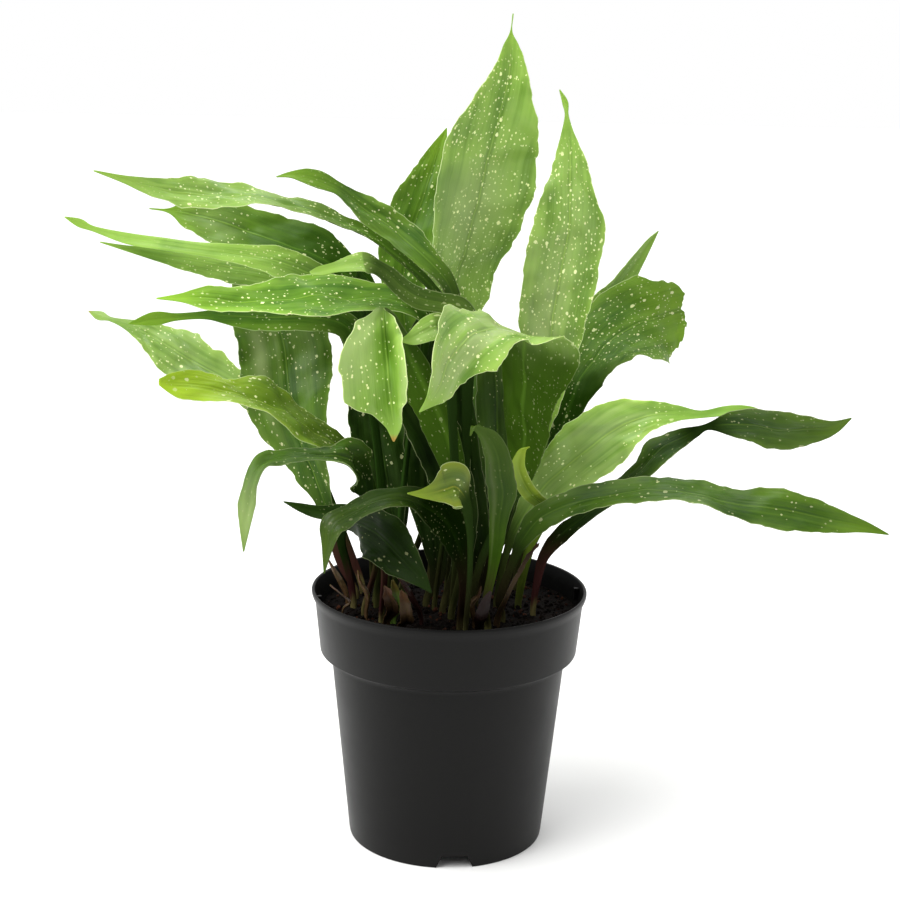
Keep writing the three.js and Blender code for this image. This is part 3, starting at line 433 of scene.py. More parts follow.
        stations=[[14, -1, 184, 8, 5], [15, -2, 222, 12, 5], [12, -2, 262, 9, 10], [6, 4, 307, 8, 10],
        [3, 8, 347, 0.5, 10]]),
    "rear_centre": dict(look="deep", root=[2, 60], side=0, fold=0.25,
        stations=[[5, 78, 190, 3, 0], [5, 94, 220, 10, 0], [6, 113, 265, 15, 0], [6, 135, 306, 15, 0],
        [4, 157, 329, 10, 0], [3, 176, 339, 0.5, 0]]),
    "rear_right": dict(look="deep", root=[28, 64], side=-30, fold=0.25,
        stations=[[36, 80, 190, 3, 30], [48, 102, 218, 9, 30], [62, 124, 262, 14, 35],
        [75, 140, 302, 16, 40], [88, 167, 325, 15, 45], [95, 186, 337, 9, 45], [98, 197, 346, 0.5, 45]]),
    "rear_left": dict(look="deep", root=[-46, 48], side=30, fold=0.25,
        stations=[[-44, 66, 192, 3, -20], [-48, 86, 222, 8, -20], [-52, 111, 258, 13, -20],
        [-61, 140, 295, 16, -15], [-70, 165, 327, 14, 0], [-77, 184, 351, 0.5, 0]]),
}
shootsAndSheaths = {
    "sheath_left": dict(root=[-71, 2], stem=2.2, tone=0.75,
        stations=[[-76, 6, 176, 4.5, 0], [-81, 8, 184, 4, 0], [-85, 11, 192, 1, 0]]),
    "sheath_left_front": dict(root=[-56, -28], stem=2, tone=0.75,
        stations=[[-55, -35, 181, 3.5, 0], [-60, -35, 191, 2.5, 0], [-61, -37, 199, 0.8, 0]]),
    "sheath_cluster_left": dict(root=[-41, -46], side=0, fold=0.6, stem=2, tone=0.4,
        stations=[[-36, -61, 182, 4, 0], [-39, -65, 192, 3.5, 0], [-41, -66, 198, 0.8, 0]]),
    "shoot_green": dict(look="shoot", root=[-37, -36], side=0, fold=0.6, stem=2.6, torn=0, tone=0.6,
        stations=[[-33, -45, 179, 4, 0], [-35, -46, 189, 3, 0], [-37, -48, 197, 0.8, 0]]),
    "sheath_cluster_right": dict(root=[-31, -51], side=0, fold=0.6, stem=2, tone=0.45,
        stations=[[-26, -68, 177, 4, 0], [-28, -69, 189, 3.5, 0], [-30, -71, 197, 0.8, 0]]),
    "sheath_dark_leaning": dict(look="purple", root=[-18, -36], stem=2.4, torn=0, tone=0.7,
        stations=[[-25, -46, 184, 4, 0], [-31, -49, 195, 3.5, 0], [-36, -52, 203, 1, 0]]),
    "sheath_brown_right": dict(root=[18, -40], side=-90, stem=2, tone=0.45,
        stations=[[17, -51, 182, 4, 0], [21, -52, 188, 3, 0], [22, -54, 195, 0.8, 0]]),
    "sheath_purple": dict(look="purple", root=[21, -58], side=180, fold=0.6, stem=2, torn=0, tone=0.22,
        stations=[[22, -79, 181, 4, 0], [25, -81, 193, 3, 0], [28, -82, 201, 0.8, 0]]),
    "dead_stalk_right": dict(root=[33, -39], side=0, fold=0.1, stem=1.8, tone=0.3,
        stations=[[39, -46, 186, 1.5, 0], [48, -41, 204, 1.5, 0], [59, -35, 221, 1, 0]]),
    "dead_stalk_left": dict(root=[-72, -22], fold=0.1, stem=1.6, tone=0.6,
        stations=[[-67, -25, 173, 1.5, 0], [-73, -20, 177, 1, 0], [-81, -13, 181, 0.9, 0]]),
}


def along(values, t):  # a smooth line through the stations, straight in its first span
    last = len(values) - 1
    place = np.clip(t, 0, 1) * last
    i = np.minimum(np.floor(place).astype(int), last - 1)
    f = (place - i)[:, None]
    b, c = values[i], values[i + 1]
    a = np.where((i > 0)[:, None], values[np.maximum(i - 1, 0)], 2 * b - c)
    d = np.where((i + 2 <= last)[:, None], values[np.minimum(i + 2, last)], 2 * c - b)
    bent = 2 * b + (c - a) * f + (2 * a - 5 * b + 4 * c - d) * f ** 2 + (3 * b - a - 3 * c + d) * f ** 3
    return np.where((i == 0)[:, None], b + (c - b) * f, bent / 2)


def unit(vectors):
    return vectors / np.linalg.norm(vectors, axis=-1, keepdims=True)


def wobble(rng, t, waves, power):  # a smooth random line from -1 to 1
    total = np.zeros_like(t)
    for wave in waves:
        total += rng.uniform(0.4, 1) * wave ** -power * np.sin(2 * math.pi * (wave * t + rng.random()))
    return total / sum(wave ** -power for wave in waves)


def swell(rng, length, v):  # broad soft hills and hollows over a blade, in millimetres
    total = 0
    for reach, across, height in swells:
        way = rng.uniform(-0.6, 0.6)
        a, b = rng.uniform(0, 6.3, 2)
        total = total + height * (np.sin(length / reach * 6.3 + way * v * 6 + a)
                                  * np.cos(across * v * 3.1 + b))
    return total


def spine(leaf):  # the midrib from the stem's foot to the tip, a row at a time
    x, y = leaf["root"]
    turn = leaf["stations"][0][4]
    start = [[x, y, z, stem["halfWidth"], turn] for z in (stem["foot"], stem["collar"])]
    stations = np.array(start + leaf["stations"], float)
    spans = len(stations) - 1
    t = np.linspace(0, 1, spans * blade["rowsPerSpan"] + 1)
    values = along(stations, t)
    centre = values[:, :3]
    step = 1e-3
    tangent = unit(along(stations, np.minimum(t + step, 1))[:, :3]
                   - along(stations, np.maximum(t - step, 0))[:, :3])
    bearing = math.radians(leaf["side"])
    across = np.array([math.cos(bearing), math.sin(bearing), 0.0])
    across = unit(across - (tangent @ across)[:, None] * tangent)
    angle = np.radians(values[:, 4])[:, None]
    across = across * np.cos(angle) + np.cross(tangent, across) * np.sin(angle)
    half = np.maximum(values[:, 3], blade["narrowest"])[:, None]
    length = np.concatenate([[0], np.cumsum(np.linalg.norm(np.diff(centre, axis=0), axis=1))])
    above = length - length[np.searchsorted(t, 1 / spans)]             # from the stem's collar
    return t[:, None], centre, tangent, across, half, length[:, None], above[:, None]


def leafBorders(rng, leaf, half, length, v, opened):  # half-widths with their waves, nicks and tears
    out = np.abs(v)

    def borderLines(scale, leftWaves, rightWaves, power):
        left, right = [wobble(rng, length / scale, waves, power) for waves in (leftWaves, rightWaves)]
        return np.where(v < 0, left, right)

    edge = borderLines(blade["edgeWave"], (1, 2.3, 4.1, 7.7), (1.3, 2.7, 4.6, 8.3), 0.8)
    nicks = borderLines(blade["nickWave"], (1, 2.1, 3.3, 5.2), (1, 2.1, 3.3, 5.2), 0.5)
    tears = borderLines(blade["tearWave"], (1, 2.3, 3.9), (1, 2.3, 3.9), 0.4)
    sharp = np.abs(nicks) ** 0.7 * np.sign(nicks)
    torn = leaf["torn"] * np.clip(1 - (length[-1] - length) / blade["tearReach"], 0, 1)
    reach = half + opened * out ** 2 * (blade["nicks"] * sharp + blade["edge"] * half * edge)
    return reach + torn * out * tears, edge, nicks, torn


def leafRelief(rng, leaf, half, length, v, opened, reach, edge, nicks):  # swells, kinks, dents, fold, pleats
    out = np.abs(v)
    lift = swell(rng, length, v) * opened * leaf["wavy"]
    lift = lift * np.minimum(half / blade["swellHalf"], blade["swellMost"])
    for place, way, deep, up, wide in leaf["kinks"]:
        bump = np.maximum(1 - np.abs(length - place) / wide, 0) ** 1.4 * (v * way > 0) * out
        reach = reach + deep * bump
        lift = lift + up * bump * out
    # shade: the painted shade (painted sheen below 0) that the dents give each point
    shade = 0 * lift
    for place, spot, deep, far, wide, dark in leaf["dents"]:
        dent = np.exp(-((length - place) / far) ** 2 - ((v - spot) / wide) ** 2)
        lift = lift - deep * dent * opened
        shade = shade + dent * dark
    vee = np.sqrt(v * v + blade["softCrease"] ** 2) - blade["softCrease"]
    rise = leaf["fold"] * vee + leaf["cup"] * opened * v ** 2
    ripple = blade["ripple"] * leaf["wavy"] * opened * out ** 3 * (edge * 2 + nicks * 0.5)
    pleat = wobble(rng, v, (2.5, 3.7, 5.1), 0.3)
    pleat = pleat + 0.6 * wobble(rng, v + length / blade["pleatTwist"], (1.5, 2.2), 0.3)
    lift = half * (rise + ripple) + blade["pleat"] * opened * pleat + lift
    halves = np.sign(v) * np.minimum(1, out / blade["crease"])         # -1 left, 1 right of the midrib
    slope = leaf["fold"] * halves + 2 * leaf["cup"] * opened * v
    return reach * (1 + leaf["skew"] * opened * halves), lift, slope, shade


def leafThickness(leaf, half, t, v):  # a thin blade on a stout midrib, and a rounded stem
    stemShare = np.clip((blade["thinHalf"] - half) / (blade["thinHalf"] - blade["fleshyHalf"]), 0, 1)
    stemShare = stemShare ** 2 * (3 - 2 * stemShare)
    stemShare = stemShare * np.clip((blade["stemEnds"] - t) / blade["stemFades"], 0, 1)
    flat = blade["thickness"] * (1 - 0.4 * v ** 8)
    flat = flat + blade["midrib"] * np.exp(-(v / blade["ribWidth"]) ** 2) * (1 - t)
    return (1 - stemShare) * flat + stemShare * leaf["stem"] * (1 - 0.55 * v * v)


def leafMesh(leaf, material, seed):
    rng = np.random.default_rng(seed)
    t, centre, tangent, across, half, length, above = spine(leaf)
    upward = np.cross(across, tangent)
    # v is -1 at the left border and 1 at the right one, opened 0 on the stem and 1 on the blade
    inner = np.linspace(-1, 1, blade["strips"] - 3) * blade["innerAt"]
    v = np.concatenate([[-1, -blade["bordersAt"]], inner, [blade["bordersAt"], 1]])[None, :]
    opened = np.clip((half - blade["stemHalf"]) / (blade["openHalf"] - blade["stemHalf"]), 0, 1)
    reach, edge, nicks, torn = leafBorders(rng, leaf, half, length, v, opened)
    reach, lift, slope, shade = leafRelief(rng, leaf, half, length, v, opened, reach, edge, nicks)
    drawn = torn * wobble(rng, v, (0.8, 1.7, 2.9), 0.4)
    point = centre[:, None] + across[:, None] * (reach * v)[..., None]
    point = point + upward[:, None] * lift[..., None] + tangent[:, None] * drawn[..., None]
    normal = across[:, None] + upward[:, None] * slope[..., None]
    normal = unit(np.cross(normal, np.repeat(tangent[:, None], v.shape[1], axis=1)))
    wall = normal * leafThickness(leaf, half, t, v)[..., None] / 2
    vertices = np.stack([point + wall, point - wall]).reshape(-1, 3) * mm + potAxis
    low, high = [np.array(corner) for corner in cadBounds]
    vertices = np.clip(vertices, low + blade["clear"] * mm, high - blade["clear"] * mm)
    made = meshObject(leaf["name"] + "_leaf", vertices, shellFaces(len(t) - 1, v.shape[1] - 1), material)
    fields = {"rib": reach * v, "edge": reach * (1 - np.abs(v)), "up": above, "tip": length[-1] - length,
              "blade": opened, "low": np.clip((leaf["low"] - length) / (leaf["span"] or leaf["low"]), 0, 1),
              "stem": (1 - opened) * (length < length[np.argmax(half)]), "shade": shade}
    fields.update((name, leaf[name]) for name in ("tone", "spots", "burn", "stalk", "pale", "foot"))
    fitFields(made.data, fields, (reach * v, length), point.shape[:2], rng.uniform(0, 900, 2))
    made.data.shade_smooth()
    return made


def fitFields(mesh, fields, flat, shape, shift):  # what the material reads, and its flat map
    def both(field):  # the same on the upper and the lower face
        return np.tile(np.broadcast_to(field, shape).ravel(), 2)

    fields = {name: both(field) for name, field in fields.items()}
    fields["under"] = np.repeat([0.0, 1.0], shape[0] * shape[1])
    for name, field in fields.items():
        mesh.attributes.new(name, "FLOAT", "POINT").data.foreach_set("value", field.astype(np.float32))
    flatMap = (np.stack([both(field) for field in flat], axis=1) + shift) * mm
    corners = np.zeros(len(mesh.loops), np.int32)
    mesh.loops.foreach_get("vertex_index", corners)
    mesh.uv_layers.new(name="leafMap").data.foreach_set("uv", flatMap[corners].ravel().astype(np.float32))


def shellFaces(rows, strips):  # upper face, lower face, and a wall round their borders
    under = (rows + 1) * (strips + 1)

    def at(row, strip):
        return row * (strips + 1) + strip

    faces = []
    for row in range(rows):
        for strip in range(strips):
            a, b = at(row, strip), at(row, strip + 1)
            c, d = at(row + 1, strip + 1), at(row + 1, strip)
            faces.append((a, b, c, d))
            faces.append((under + a, under + d, under + c, under + b))
    border = [(at(row + 1, 0), at(row, 0)) for row in range(rows)]
    border += [(at(row, strips), at(row + 1, strips)) for row in range(rows)]
    border += [(at(0, strip), at(0, strip + 1)) for strip in range(strips)]
    border += [(at(rows, strip + 1), at(rows, strip)) for strip in range(strips)]
    faces += [(a, under + a, under + b, b) for a, b in border]
    return faces


# Colours are linear. deep and bright are the blade's two greens, inner the painted shade of its
# shaded foot, rim the paler band by its border, tip what the last tipReach millimetres turn to,
# speckles the share of spots, purple how many millimetres of its foot are purple, stalk the stem's
# colour (a dark painted shade in the green looks, the stem's own colour in husk, purple and shoot).
# The looks light, middle, deep and shadow are mostly one green painted lighter or darker: painted
# light and painted shade for leaves that stand in the open or deep among the others.
lookUsual = dict(speckles=0.0, purple=0, gloss=0.2, stalk=(0.012, 0.027, 0.006))
leafLooks = {
    "light": dict(
        deep=(0.105, 0.225, 0.022), bright=(0.25, 0.42, 0.065), inner=(0.035, 0.082, 0.005),
        rim=(0.36, 0.54, 0.09), tip=(0.23, 0.39, 0.045), tipReach=40, speckles=1.0, purple=30, gloss=0.36),
    "middle": dict(
        deep=(0.036, 0.098, 0.009), bright=(0.105, 0.215, 0.016), inner=(0.011, 0.033, 0.0025),
        rim=(0.21, 0.36, 0.04), tip=(0.17, 0.31, 0.02), tipReach=60, speckles=0.8, purple=34, gloss=0.18),
    "deep": dict(
        deep=(0.017, 0.047, 0.005), bright=(0.050, 0.112, 0.009), inner=(0.005, 0.016, 0.0015),
        rim=(0.12, 0.23, 0.022), tip=(0.10, 0.19, 0.014), tipReach=50, speckles=0.7, purple=40, gloss=0.14),
    "shadow": dict(
        deep=(0.007, 0.018, 0.0025), bright=(0.018, 0.043, 0.005), inner=(0.002, 0.006, 0.0008),
        rim=(0.035, 0.075, 0.010), tip=(0.02, 0.045, 0.006), tipReach=30, speckles=0.55, purple=15,
        gloss=0.05),
    "yellow": dict(
        deep=(0.07, 0.15, 0.010), bright=(0.19, 0.32, 0.018), inner=(0.02, 0.048, 0.003),
        rim=(0.40, 0.58, 0.035), tip=(0.42, 0.62, 0.02), tipReach=95, speckles=0.8, purple=25, gloss=0.26),
    "olive": dict(
        deep=(0.050, 0.100, 0.008), bright=(0.135, 0.205, 0.018), inner=(0.015, 0.033, 0.0024),
        rim=(0.42, 0.42, 0.03), tip=(0.22, 0.31, 0.02), tipReach=40, speckles=0.35, purple=25, gloss=0.30),
    "husk": dict(
        deep=(0.045, 0.022, 0.012), bright=(0.16, 0.10, 0.045), inner=(0.025, 0.013, 0.007),
        rim=(0.33, 0.25, 0.13), tip=(0.16, 0.07, 0.03), tipReach=12, stalk=(0.09, 0.052, 0.024)),
    "purple": dict(
        deep=(0.025, 0.010, 0.010), bright=(0.060, 0.028, 0.022), inner=(0.008, 0.003, 0.003),
        rim=(0.12, 0.07, 0.045), tip=(0.08, 0.04, 0.03), tipReach=12, stalk=(0.035, 0.014, 0.012)),
    "shoot": dict(
        deep=(0.060, 0.12, 0.012), bright=(0.14, 0.24, 0.03), inner=(0.018, 0.04, 0.003),
        rim=(0.30, 0.34, 0.08), tip=(0.20, 0.12, 0.03), tipReach=14, gloss=0.3, stalk=(0.10, 0.17, 0.028)),
}
leafTints = dict(sheenGreen=(0.72, 0.96, 0.34),  # the painted sheen, a greyer green, as shares of the look's green
                 burnt=(0.36, 0.17, 0.03), border=(0.62, 0.72, 0.34), purple=(0.045, 0.014, 0.014),
                 base=(0.16, 0.15, 0.05))
speckle = dict(colour=(0.80, 0.86, 0.42), bigCell=7.5, bigRadius=(0.45, 1.1), bigShare=0.48,
               smallCell=2.9, smallRadius=(0.26, 0.62), smallShare=0.5, ragged=0.0009)


def speckleMask(tree, place, cell, radius, share, thin):
    # one spot at most in each cell, of a random size, and none in many of them
    spots = tree.node("ShaderNodeTexVoronoi", {"voronoi_dimensions": "2D"},
                      {"Vector": tree.stretched(place, (1000 / cell, 700 / cell, 1)), "Scale": 1.0})
    colours = tree.node("ShaderNodeSeparateColor", {}, {0: spots.other("Color")})
    least, most = radius[0] / cell, radius[1] / cell
    size = ((colours - (1 - share)) / share).most(0.0) ** 3 * (most - least) + least
    there = colours.rise(1 - share, 1.01 - share) * thin
    return (size - spots).rise(-0.12 / cell, 0.14 / cell) * there


def speckles(tree, place, share, where):  # the masks of both sizes, with ragged borders
    drift = tree.noise(place, 900, 1, 0.5, "2D").other("Color")
    ragged = tree.node("ShaderNodeVectorMath", {"operation": "MULTIPLY_ADD"},
                       {0: drift, 1: (speckle["ragged"], speckle["ragged"], 0), 2: place})
    thin = tree.noise(place, 22, 2, 0.5, "2D").rise(0.34, 0.42) * where
    spots = tree.attribute("spots") * share
    big, small = [speckleMask(tree, ragged, speckle[size + "Cell"], speckle[size + "Radius"],
                              spots * speckle[size + "Share"], thin) for size in ("big", "small")]
    return big.most(small * 0.92)


def leafMaterial(name, look):
    material, tree = newMaterial(name)
    place = tree.node("ShaderNodeUVMap", {"uv_map": "leafMap"})
    rib, edge, up, tip, opened, under, shade, onStem, foot = [tree.attribute(field) for field in (
        "rib", "edge", "up", "tip", "blade", "under", "shade", "stem", "foot")]
    clouds = tree.noise(place, 28, 3, 0.55, "2D")                              # 35 mm across
    bands = tree.noise(tree.stretched(place, (150, 4, 1)), 1, 3, 0.6, "2D")    # streaks 7 mm apart
    veins = tree.noise(tree.stretched(place, (1100, 9, 1)), 1, 2, 0.6, "2D")   # veins 1 mm apart
    sheen = tree.noise(tree.stretched(place, (55, 9, 1)), 1, 3, 0.55, "2D")    # streaks 18 mm apart
    sheen = (sheen * 0.75 + bands * 0.35).rise(0.47, 0.68)
    # painted shade: low is near 1 towards the blade's foot, where the other leaves shade it
    low = (tree.attribute("low") + (clouds - 0.5) * 0.4).rise(0.08, 0.62)
    green = look["bright"][1]
    sheenGreen = tuple(share * green for share in leafTints["sheenGreen"])
    paintedSheen = tuple(1.15 * share * max(green, 0.33) for share in leafTints["sheenGreen"])
    # painted shade: speckles and border are darker on the darker looks, the leaves that stand in shade
    lookShading = min(1, green / 0.42) ** 0.45
    back = tuple(0.5 * a + 0.5 * b for a, b in zip(look["bright"], look["deep"]))

    colour = tree.mix((clouds * 0.5 + bands * 0.65).rise(0.36, 0.74), look["deep"], look["bright"])
    colour = tree.mix(veins.rise(0.3, 0.75) * 0.3, colour, look["bright"])
    colour = tree.mix(edge.rise(6.5, 0.5) * clouds.rise(0.2, 0.7) * 0.5 * opened, colour, look["rim"])
    colour = tree.mix(tip.rise(look["tipReach"], 4) * (0.45 + bands * 0.6).least(1.0), colour, look["tip"])
    # painted sheen: pale greyer streaks where light gleams on the blade
    colour = tree.mix(sheen * tree.attribute("pale") * opened, colour, sheenGreen)
    colour = tree.mix(under * 0.4, colour, back)
    # painted shade towards the foot, in the look's inner colour
    colour = tree.mix(low * 0.95, colour, look["inner"])
    # painted shade on the stems of the green looks; husk, purple and shoot stems take their own colour
    colour = tree.mix(onStem * tree.attribute("stalk"), colour, look["stalk"])
    # painted shade in the dents, and painted sheen where their shade is below 0
    colour = tree.mix((shade * 0.85).least(1.0), colour, tuple(2.2 * c for c in look["inner"]))
    colour = tree.mix((shade * -0.85).least(1.0), colour, paintedSheen)
    ribLine = abs(rib).rise(0.75, 0.25) * opened * (1 - low * 0.9)
    ribGroove = abs(rib).rise(2.6, 0.8) * opened
    # painted shade in the groove beside the midrib; the midrib line itself is its own paler green
    colour = tree.mix(ribGroove * 0.35, colour, look["deep"])
    colour = tree.mix(ribLine * 0.35, colour, look["rim"])
    if look["speckles"]:
        spots = speckles(tree, place, look["speckles"], opened * (1 - under * 0.6))
        colour = tree.mix(spots * (1 - low * 0.45), colour, tuple(lookShading * c for c in speckle["colour"]))
    burnt = (tip + (clouds - 0.5) * 8).rise(5, 1) * tree.attribute("burn")
    colour = tree.mix(burnt * 0.85, colour, leafTints["burnt"])
    border = edge.rise(0.55, 0.12) * opened * (1 - low * 0.85)
    colour = tree.mix(border * 0.75, colour, tuple(lookShading * c for c in leafTints["border"]))
    # painted light and shade: tone lightens or darkens each leaf's whole colour, partly its own green and
    # partly how it is lit
    colour = tree.node("ShaderNodeVectorMath", {"operation": "SCALE"},
                       {0: colour, "Scale": tree.attribute("tone")})
    if look["purple"]:
        streaky = up + bands * 26 - 13
        purple = streaky.rise(look["purple"] + 34, look["purple"] * 0.6)
        colour = tree.mix(purple * foot * 0.9, colour, leafTints["purple"])
        colour = tree.mix(streaky.rise(12, 2) * foot * 0.6, colour, leafTints["base"])
    rough = 0.3 + clouds * 0.14 + under * 0.15
    height = veins * 0.35 + bands * 0.6 - ribGroove * 0.9 + ribLine * 0.5
    surface(tree, {"Base Color": colour, "Roughness": rough, "Normal": tree.bump(0.5, 0.0007, height),
                   "IOR": 1.42, "Specular IOR Level": look["gloss"], "Subsurface Weight": 0.15,
                   "Subsurface Scale": 0.0012, "Subsurface Radius": (0.5, 1.0, 0.15)},
            low.most(onStem).most(shade))
    return material


leafMaterials = {name: leafMaterial("leaf_" + name, {**lookUsual, **look})
                 for name, look in leafLooks.items()}
shaped = [{**leafUsual, "name": name, **own} for name, own in leaves.items()]
shaped += [{**sheathUsual, "name": name, **own} for name, own in shootsAndSheaths.items()]
for seed, leaf in enumerate(shaped):
    made = leafMesh(leaf, leafMaterials[leaf["look"]], seed)
    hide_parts(leaf["name"])
    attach(made, "root")
print("leaves made:", len(leaves), "and", len(shootsAndSheaths), "shoots and sheaths")

# Pot: a profile turned round the axis, in millimetres from it and from the floor.
potSizes = {
    "profile": [
        (0, 9.6), (65.9, 9.6), (66.2, 9.3), (66.3, 0.4), (66.6, 0), (67.4, 0), (67.7, 0.3), (68.2, 3),
        (80.9, 128), (81.2, 129.6), (82, 131.3), (83.3, 132.7), (85, 133.7), (86.6, 134.1), (88, 134.4),
        (88.7, 134.9), (89, 135.6), (92.4, 169), (93.2, 171.5), (94.4, 174), (94.8, 175.2), (95, 176.4),
        (95, 177.3), (94.7, 177.9), (94.2, 178.2), (93.6, 178.1), (93, 177.6), (91.6, 172), (91, 168.5),
        (87.7, 136.6), (86.4, 135.2), (83.6, 134.6), (81.4, 133.5), (80.2, 132), (79.6, 128),
        (67.2, 10.8), (0, 10.8)],
    "inputs": {
        "Segments": 192, "Drains": 8, "Drain Radius": 4.5 * mm, "Drain Circle": 48 * mm,
        "Drain Height": 10.2 * mm, "Notches": 3, "Notch Turn": math.radians(-83.3), "Notch Circle": 67 * mm,
        "Notch Width": 26 * mm, "Notch Height": 9 * mm, "Notch Taper": 0.35, "Lugs": 8,
        "Lug Turn": math.radians(10), "Lug Circle": 90.1 * mm, "Lug Width": 2.6 * mm, "Lug Depth": 3 * mm,
        "Lug Bottom": 166 * mm, "Lug Top": 174.5 * mm},
    "drainSides": 32, "drainDepth": 4 * mm, "cutDepth": 12 * mm, "cutBelow": 1 * mm, "softAngle": 32,
}
potLook = dict(colour=(0.0034, 0.0033, 0.0031), dust=(0.014, 0.0135, 0.012), rough=0.42, gloss=0.135)


def turned(tree, profile, segments):  # a profile's points turned round the axis, seam and poles merged
    count = tree.node("GeometryNodeAttributeDomainSize", {"component": "MESH"}, {"Geometry": profile})
    grid = tree.node("GeometryNodeMeshGrid", {}, {"Vertices X": count, "Vertices Y": segments + 1})
    index = tree.node("GeometryNodeInputIndex")
    ring = tree.math("FLOOR", index / (segments + 1) + 1e-4)
    angle = (index - ring * (segments + 1)) / segments * (-2 * math.pi)
    place = tree.node("GeometryNodeSampleIndex", {"data_type": "FLOAT_VECTOR"},
                      {"Geometry": profile, "Value": tree.node("GeometryNodeInputPosition"), "Index": ring})
    radius, _, height = tree.parts(place)
    spot = tree.vector(radius * tree.math("COSINE", angle), radius * tree.math("SINE", angle), height)
    return tree.node("GeometryNodeMergeByDistance", {}, {"Geometry": tree.moved(grid, spot),
                                                         "Distance": 2e-5})


def ringOf(tree, piece, count, radius, first):  # copies of a piece on a circle, each facing outwards
    points = tree.node("GeometryNodeMeshCircle", {}, {"Vertices": count, "Radius": radius})
    angle = tree.node("GeometryNodeInputIndex") / count * (2 * math.pi) + first
    points = tree.moved(points, tree.vector(tree.math("COSINE", angle) * radius,
                                            tree.math("SINE", angle) * radius, 0.0))
    facing = tree.node("FunctionNodeEulerToRotation", {}, {0: tree.vector(0.0, 0.0, angle)})
    copies = tree.node("GeometryNodeInstanceOnPoints", {},
                       {"Points": points, "Instance": piece, "Rotation": facing})
    return tree.real(copies)


def potTree(material):
    tree, given = newGroup("pot form", potSizes["inputs"])
    cutDepth, cutBelow = potSizes["cutDepth"], potSizes["cutBelow"]
    body = turned(tree, given["Geometry"], given["Segments"])
    drain = tree.node("GeometryNodeMeshCylinder", {}, {
        "Vertices": potSizes["drainSides"], "Depth": potSizes["drainDepth"],
        "Radius": given["Drain Radius"]})
    drain = tree.node("GeometryNodeTransform", {}, {
        "Geometry": drain, "Translation": tree.vector(0.0, 0.0, given["Drain Height"])})
    drains = ringOf(tree, drain, given["Drains"], given["Drain Circle"], 0.0)
    cutHeight = given["Notch Height"] + cutBelow
    notch = tree.node("GeometryNodeMeshCube", {}, {
        "Size": tree.vector(cutDepth, given["Notch Width"], cutHeight)})
    x, y, z = tree.parts(tree.node("GeometryNodeInputPosition"))
    high = z / cutHeight + 0.5
    notch = tree.moved(notch, tree.vector(x, y * (1 - high * given["Notch Taper"]),
                                          z + given["Notch Height"] / 2 - cutBelow / 2))
    notches = ringOf(tree, notch, given["Notches"], given["Notch Circle"], given["Notch Turn"])
    body = tree.node("GeometryNodeMeshBoolean", {"operation": "DIFFERENCE", "solver": "EXACT"},
                     {0: body, 1: [drains, notches]})
    lug = tree.node("GeometryNodeMeshCube", {}, {"Size": tree.vector(
        given["Lug Depth"], given["Lug Width"], given["Lug Top"] - given["Lug Bottom"])})
    lug = tree.node("GeometryNodeTransform", {}, {"Geometry": lug, "Translation": tree.vector(
        0.0, 0.0, (given["Lug Top"] + given["Lug Bottom"]) / 2)})
    lugs = ringOf(tree, lug, given["Lugs"], given["Lug Circle"], given["Lug Turn"])
    whole = tree.node("GeometryNodeMeshBoolean", {"operation": "UNION", "solver": "EXACT"},
                      {1: [body, lugs]})
    return endGroup(tree, whole, material)


def potMaterial():
    material, tree = newMaterial("pot_plastic")
    place = tree.objectPlace()
    grain = tree.noise(place, 1600, 2, 0.6)
    clouds = tree.noise(place, 22, 4, 0.6)
    dust = tree.noise(place, 420, 3, 0.7).rise(0.60, 0.78) * clouds.rise(0.45, 0.7)
    foot = tree.parts(place)[2].rise(0.02, 0.0)
    colour = tree.mix((dust * 0.35 + foot * 0.12 + clouds * 0.10).least(1.0), potLook["colour"],
                      potLook["dust"])
    rough = clouds * 0.16 + dust * 0.15 + (potLook["rough"] - 0.08)
    normal = tree.bump(0.18, 0.0004, grain * 0.5 + clouds * 2.5)
    surface(tree, {"Base Color": colour, "Roughness": rough, "Normal": normal, "IOR": 1.5,
                   "Specular IOR Level": potLook["gloss"]})
    return material


pot = profileObject("nursery_pot", potSizes["profile"], potTree(potMaterial()), potSizes["inputs"])
pot.data.shade_smooth()
pot.data.set_sharp_from_angle(angle=math.radians(potSizes["softAngle"]))
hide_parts("pot")
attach(pot, "root")
print("pot made:", len(pot.data.vertices), "points")

# Compost: a rough bed that fills the pot, with crumbs and bits of bark strewn over it. Crumbs and
# Sticks are counts per square metre.
compostSizes = {
    "profile": [(0, 11.2), (66.8, 11.2), (79.1, 128), (79.8, 132.3), (83.4, 135), (87.2, 137),
                (90.1, 161.5), (88, 162.2), (84, 162),
                *[(82 - 2 * i, 162.2 + 0.035 * i) for i in range(41)], (0, 163.6)],
    "inputs": {
        "Segments": 160, "Roughness": 2.2 * mm, "Top Low": 161.2 * mm, "Top High": 162.2 * mm,
        "Strewn Height": 158 * mm, "Strewn Radius": 86.5 * mm,
        "Crumbs": 90000.0, "Crumb Low": 0.5 * mm, "Crumb High": 2.1 * mm, "Sticks": 9000.0,
        "Stick Low": 0.6 * mm, "Stick High": 1.4 * mm, "Seed": 4},
}
compostLook = dict(dark=(0.0016, 0.0012, 0.0010), brown=(0.0075, 0.0043, 0.0029),
                   bark=(0.050, 0.017, 0.008), gloss=0.06)


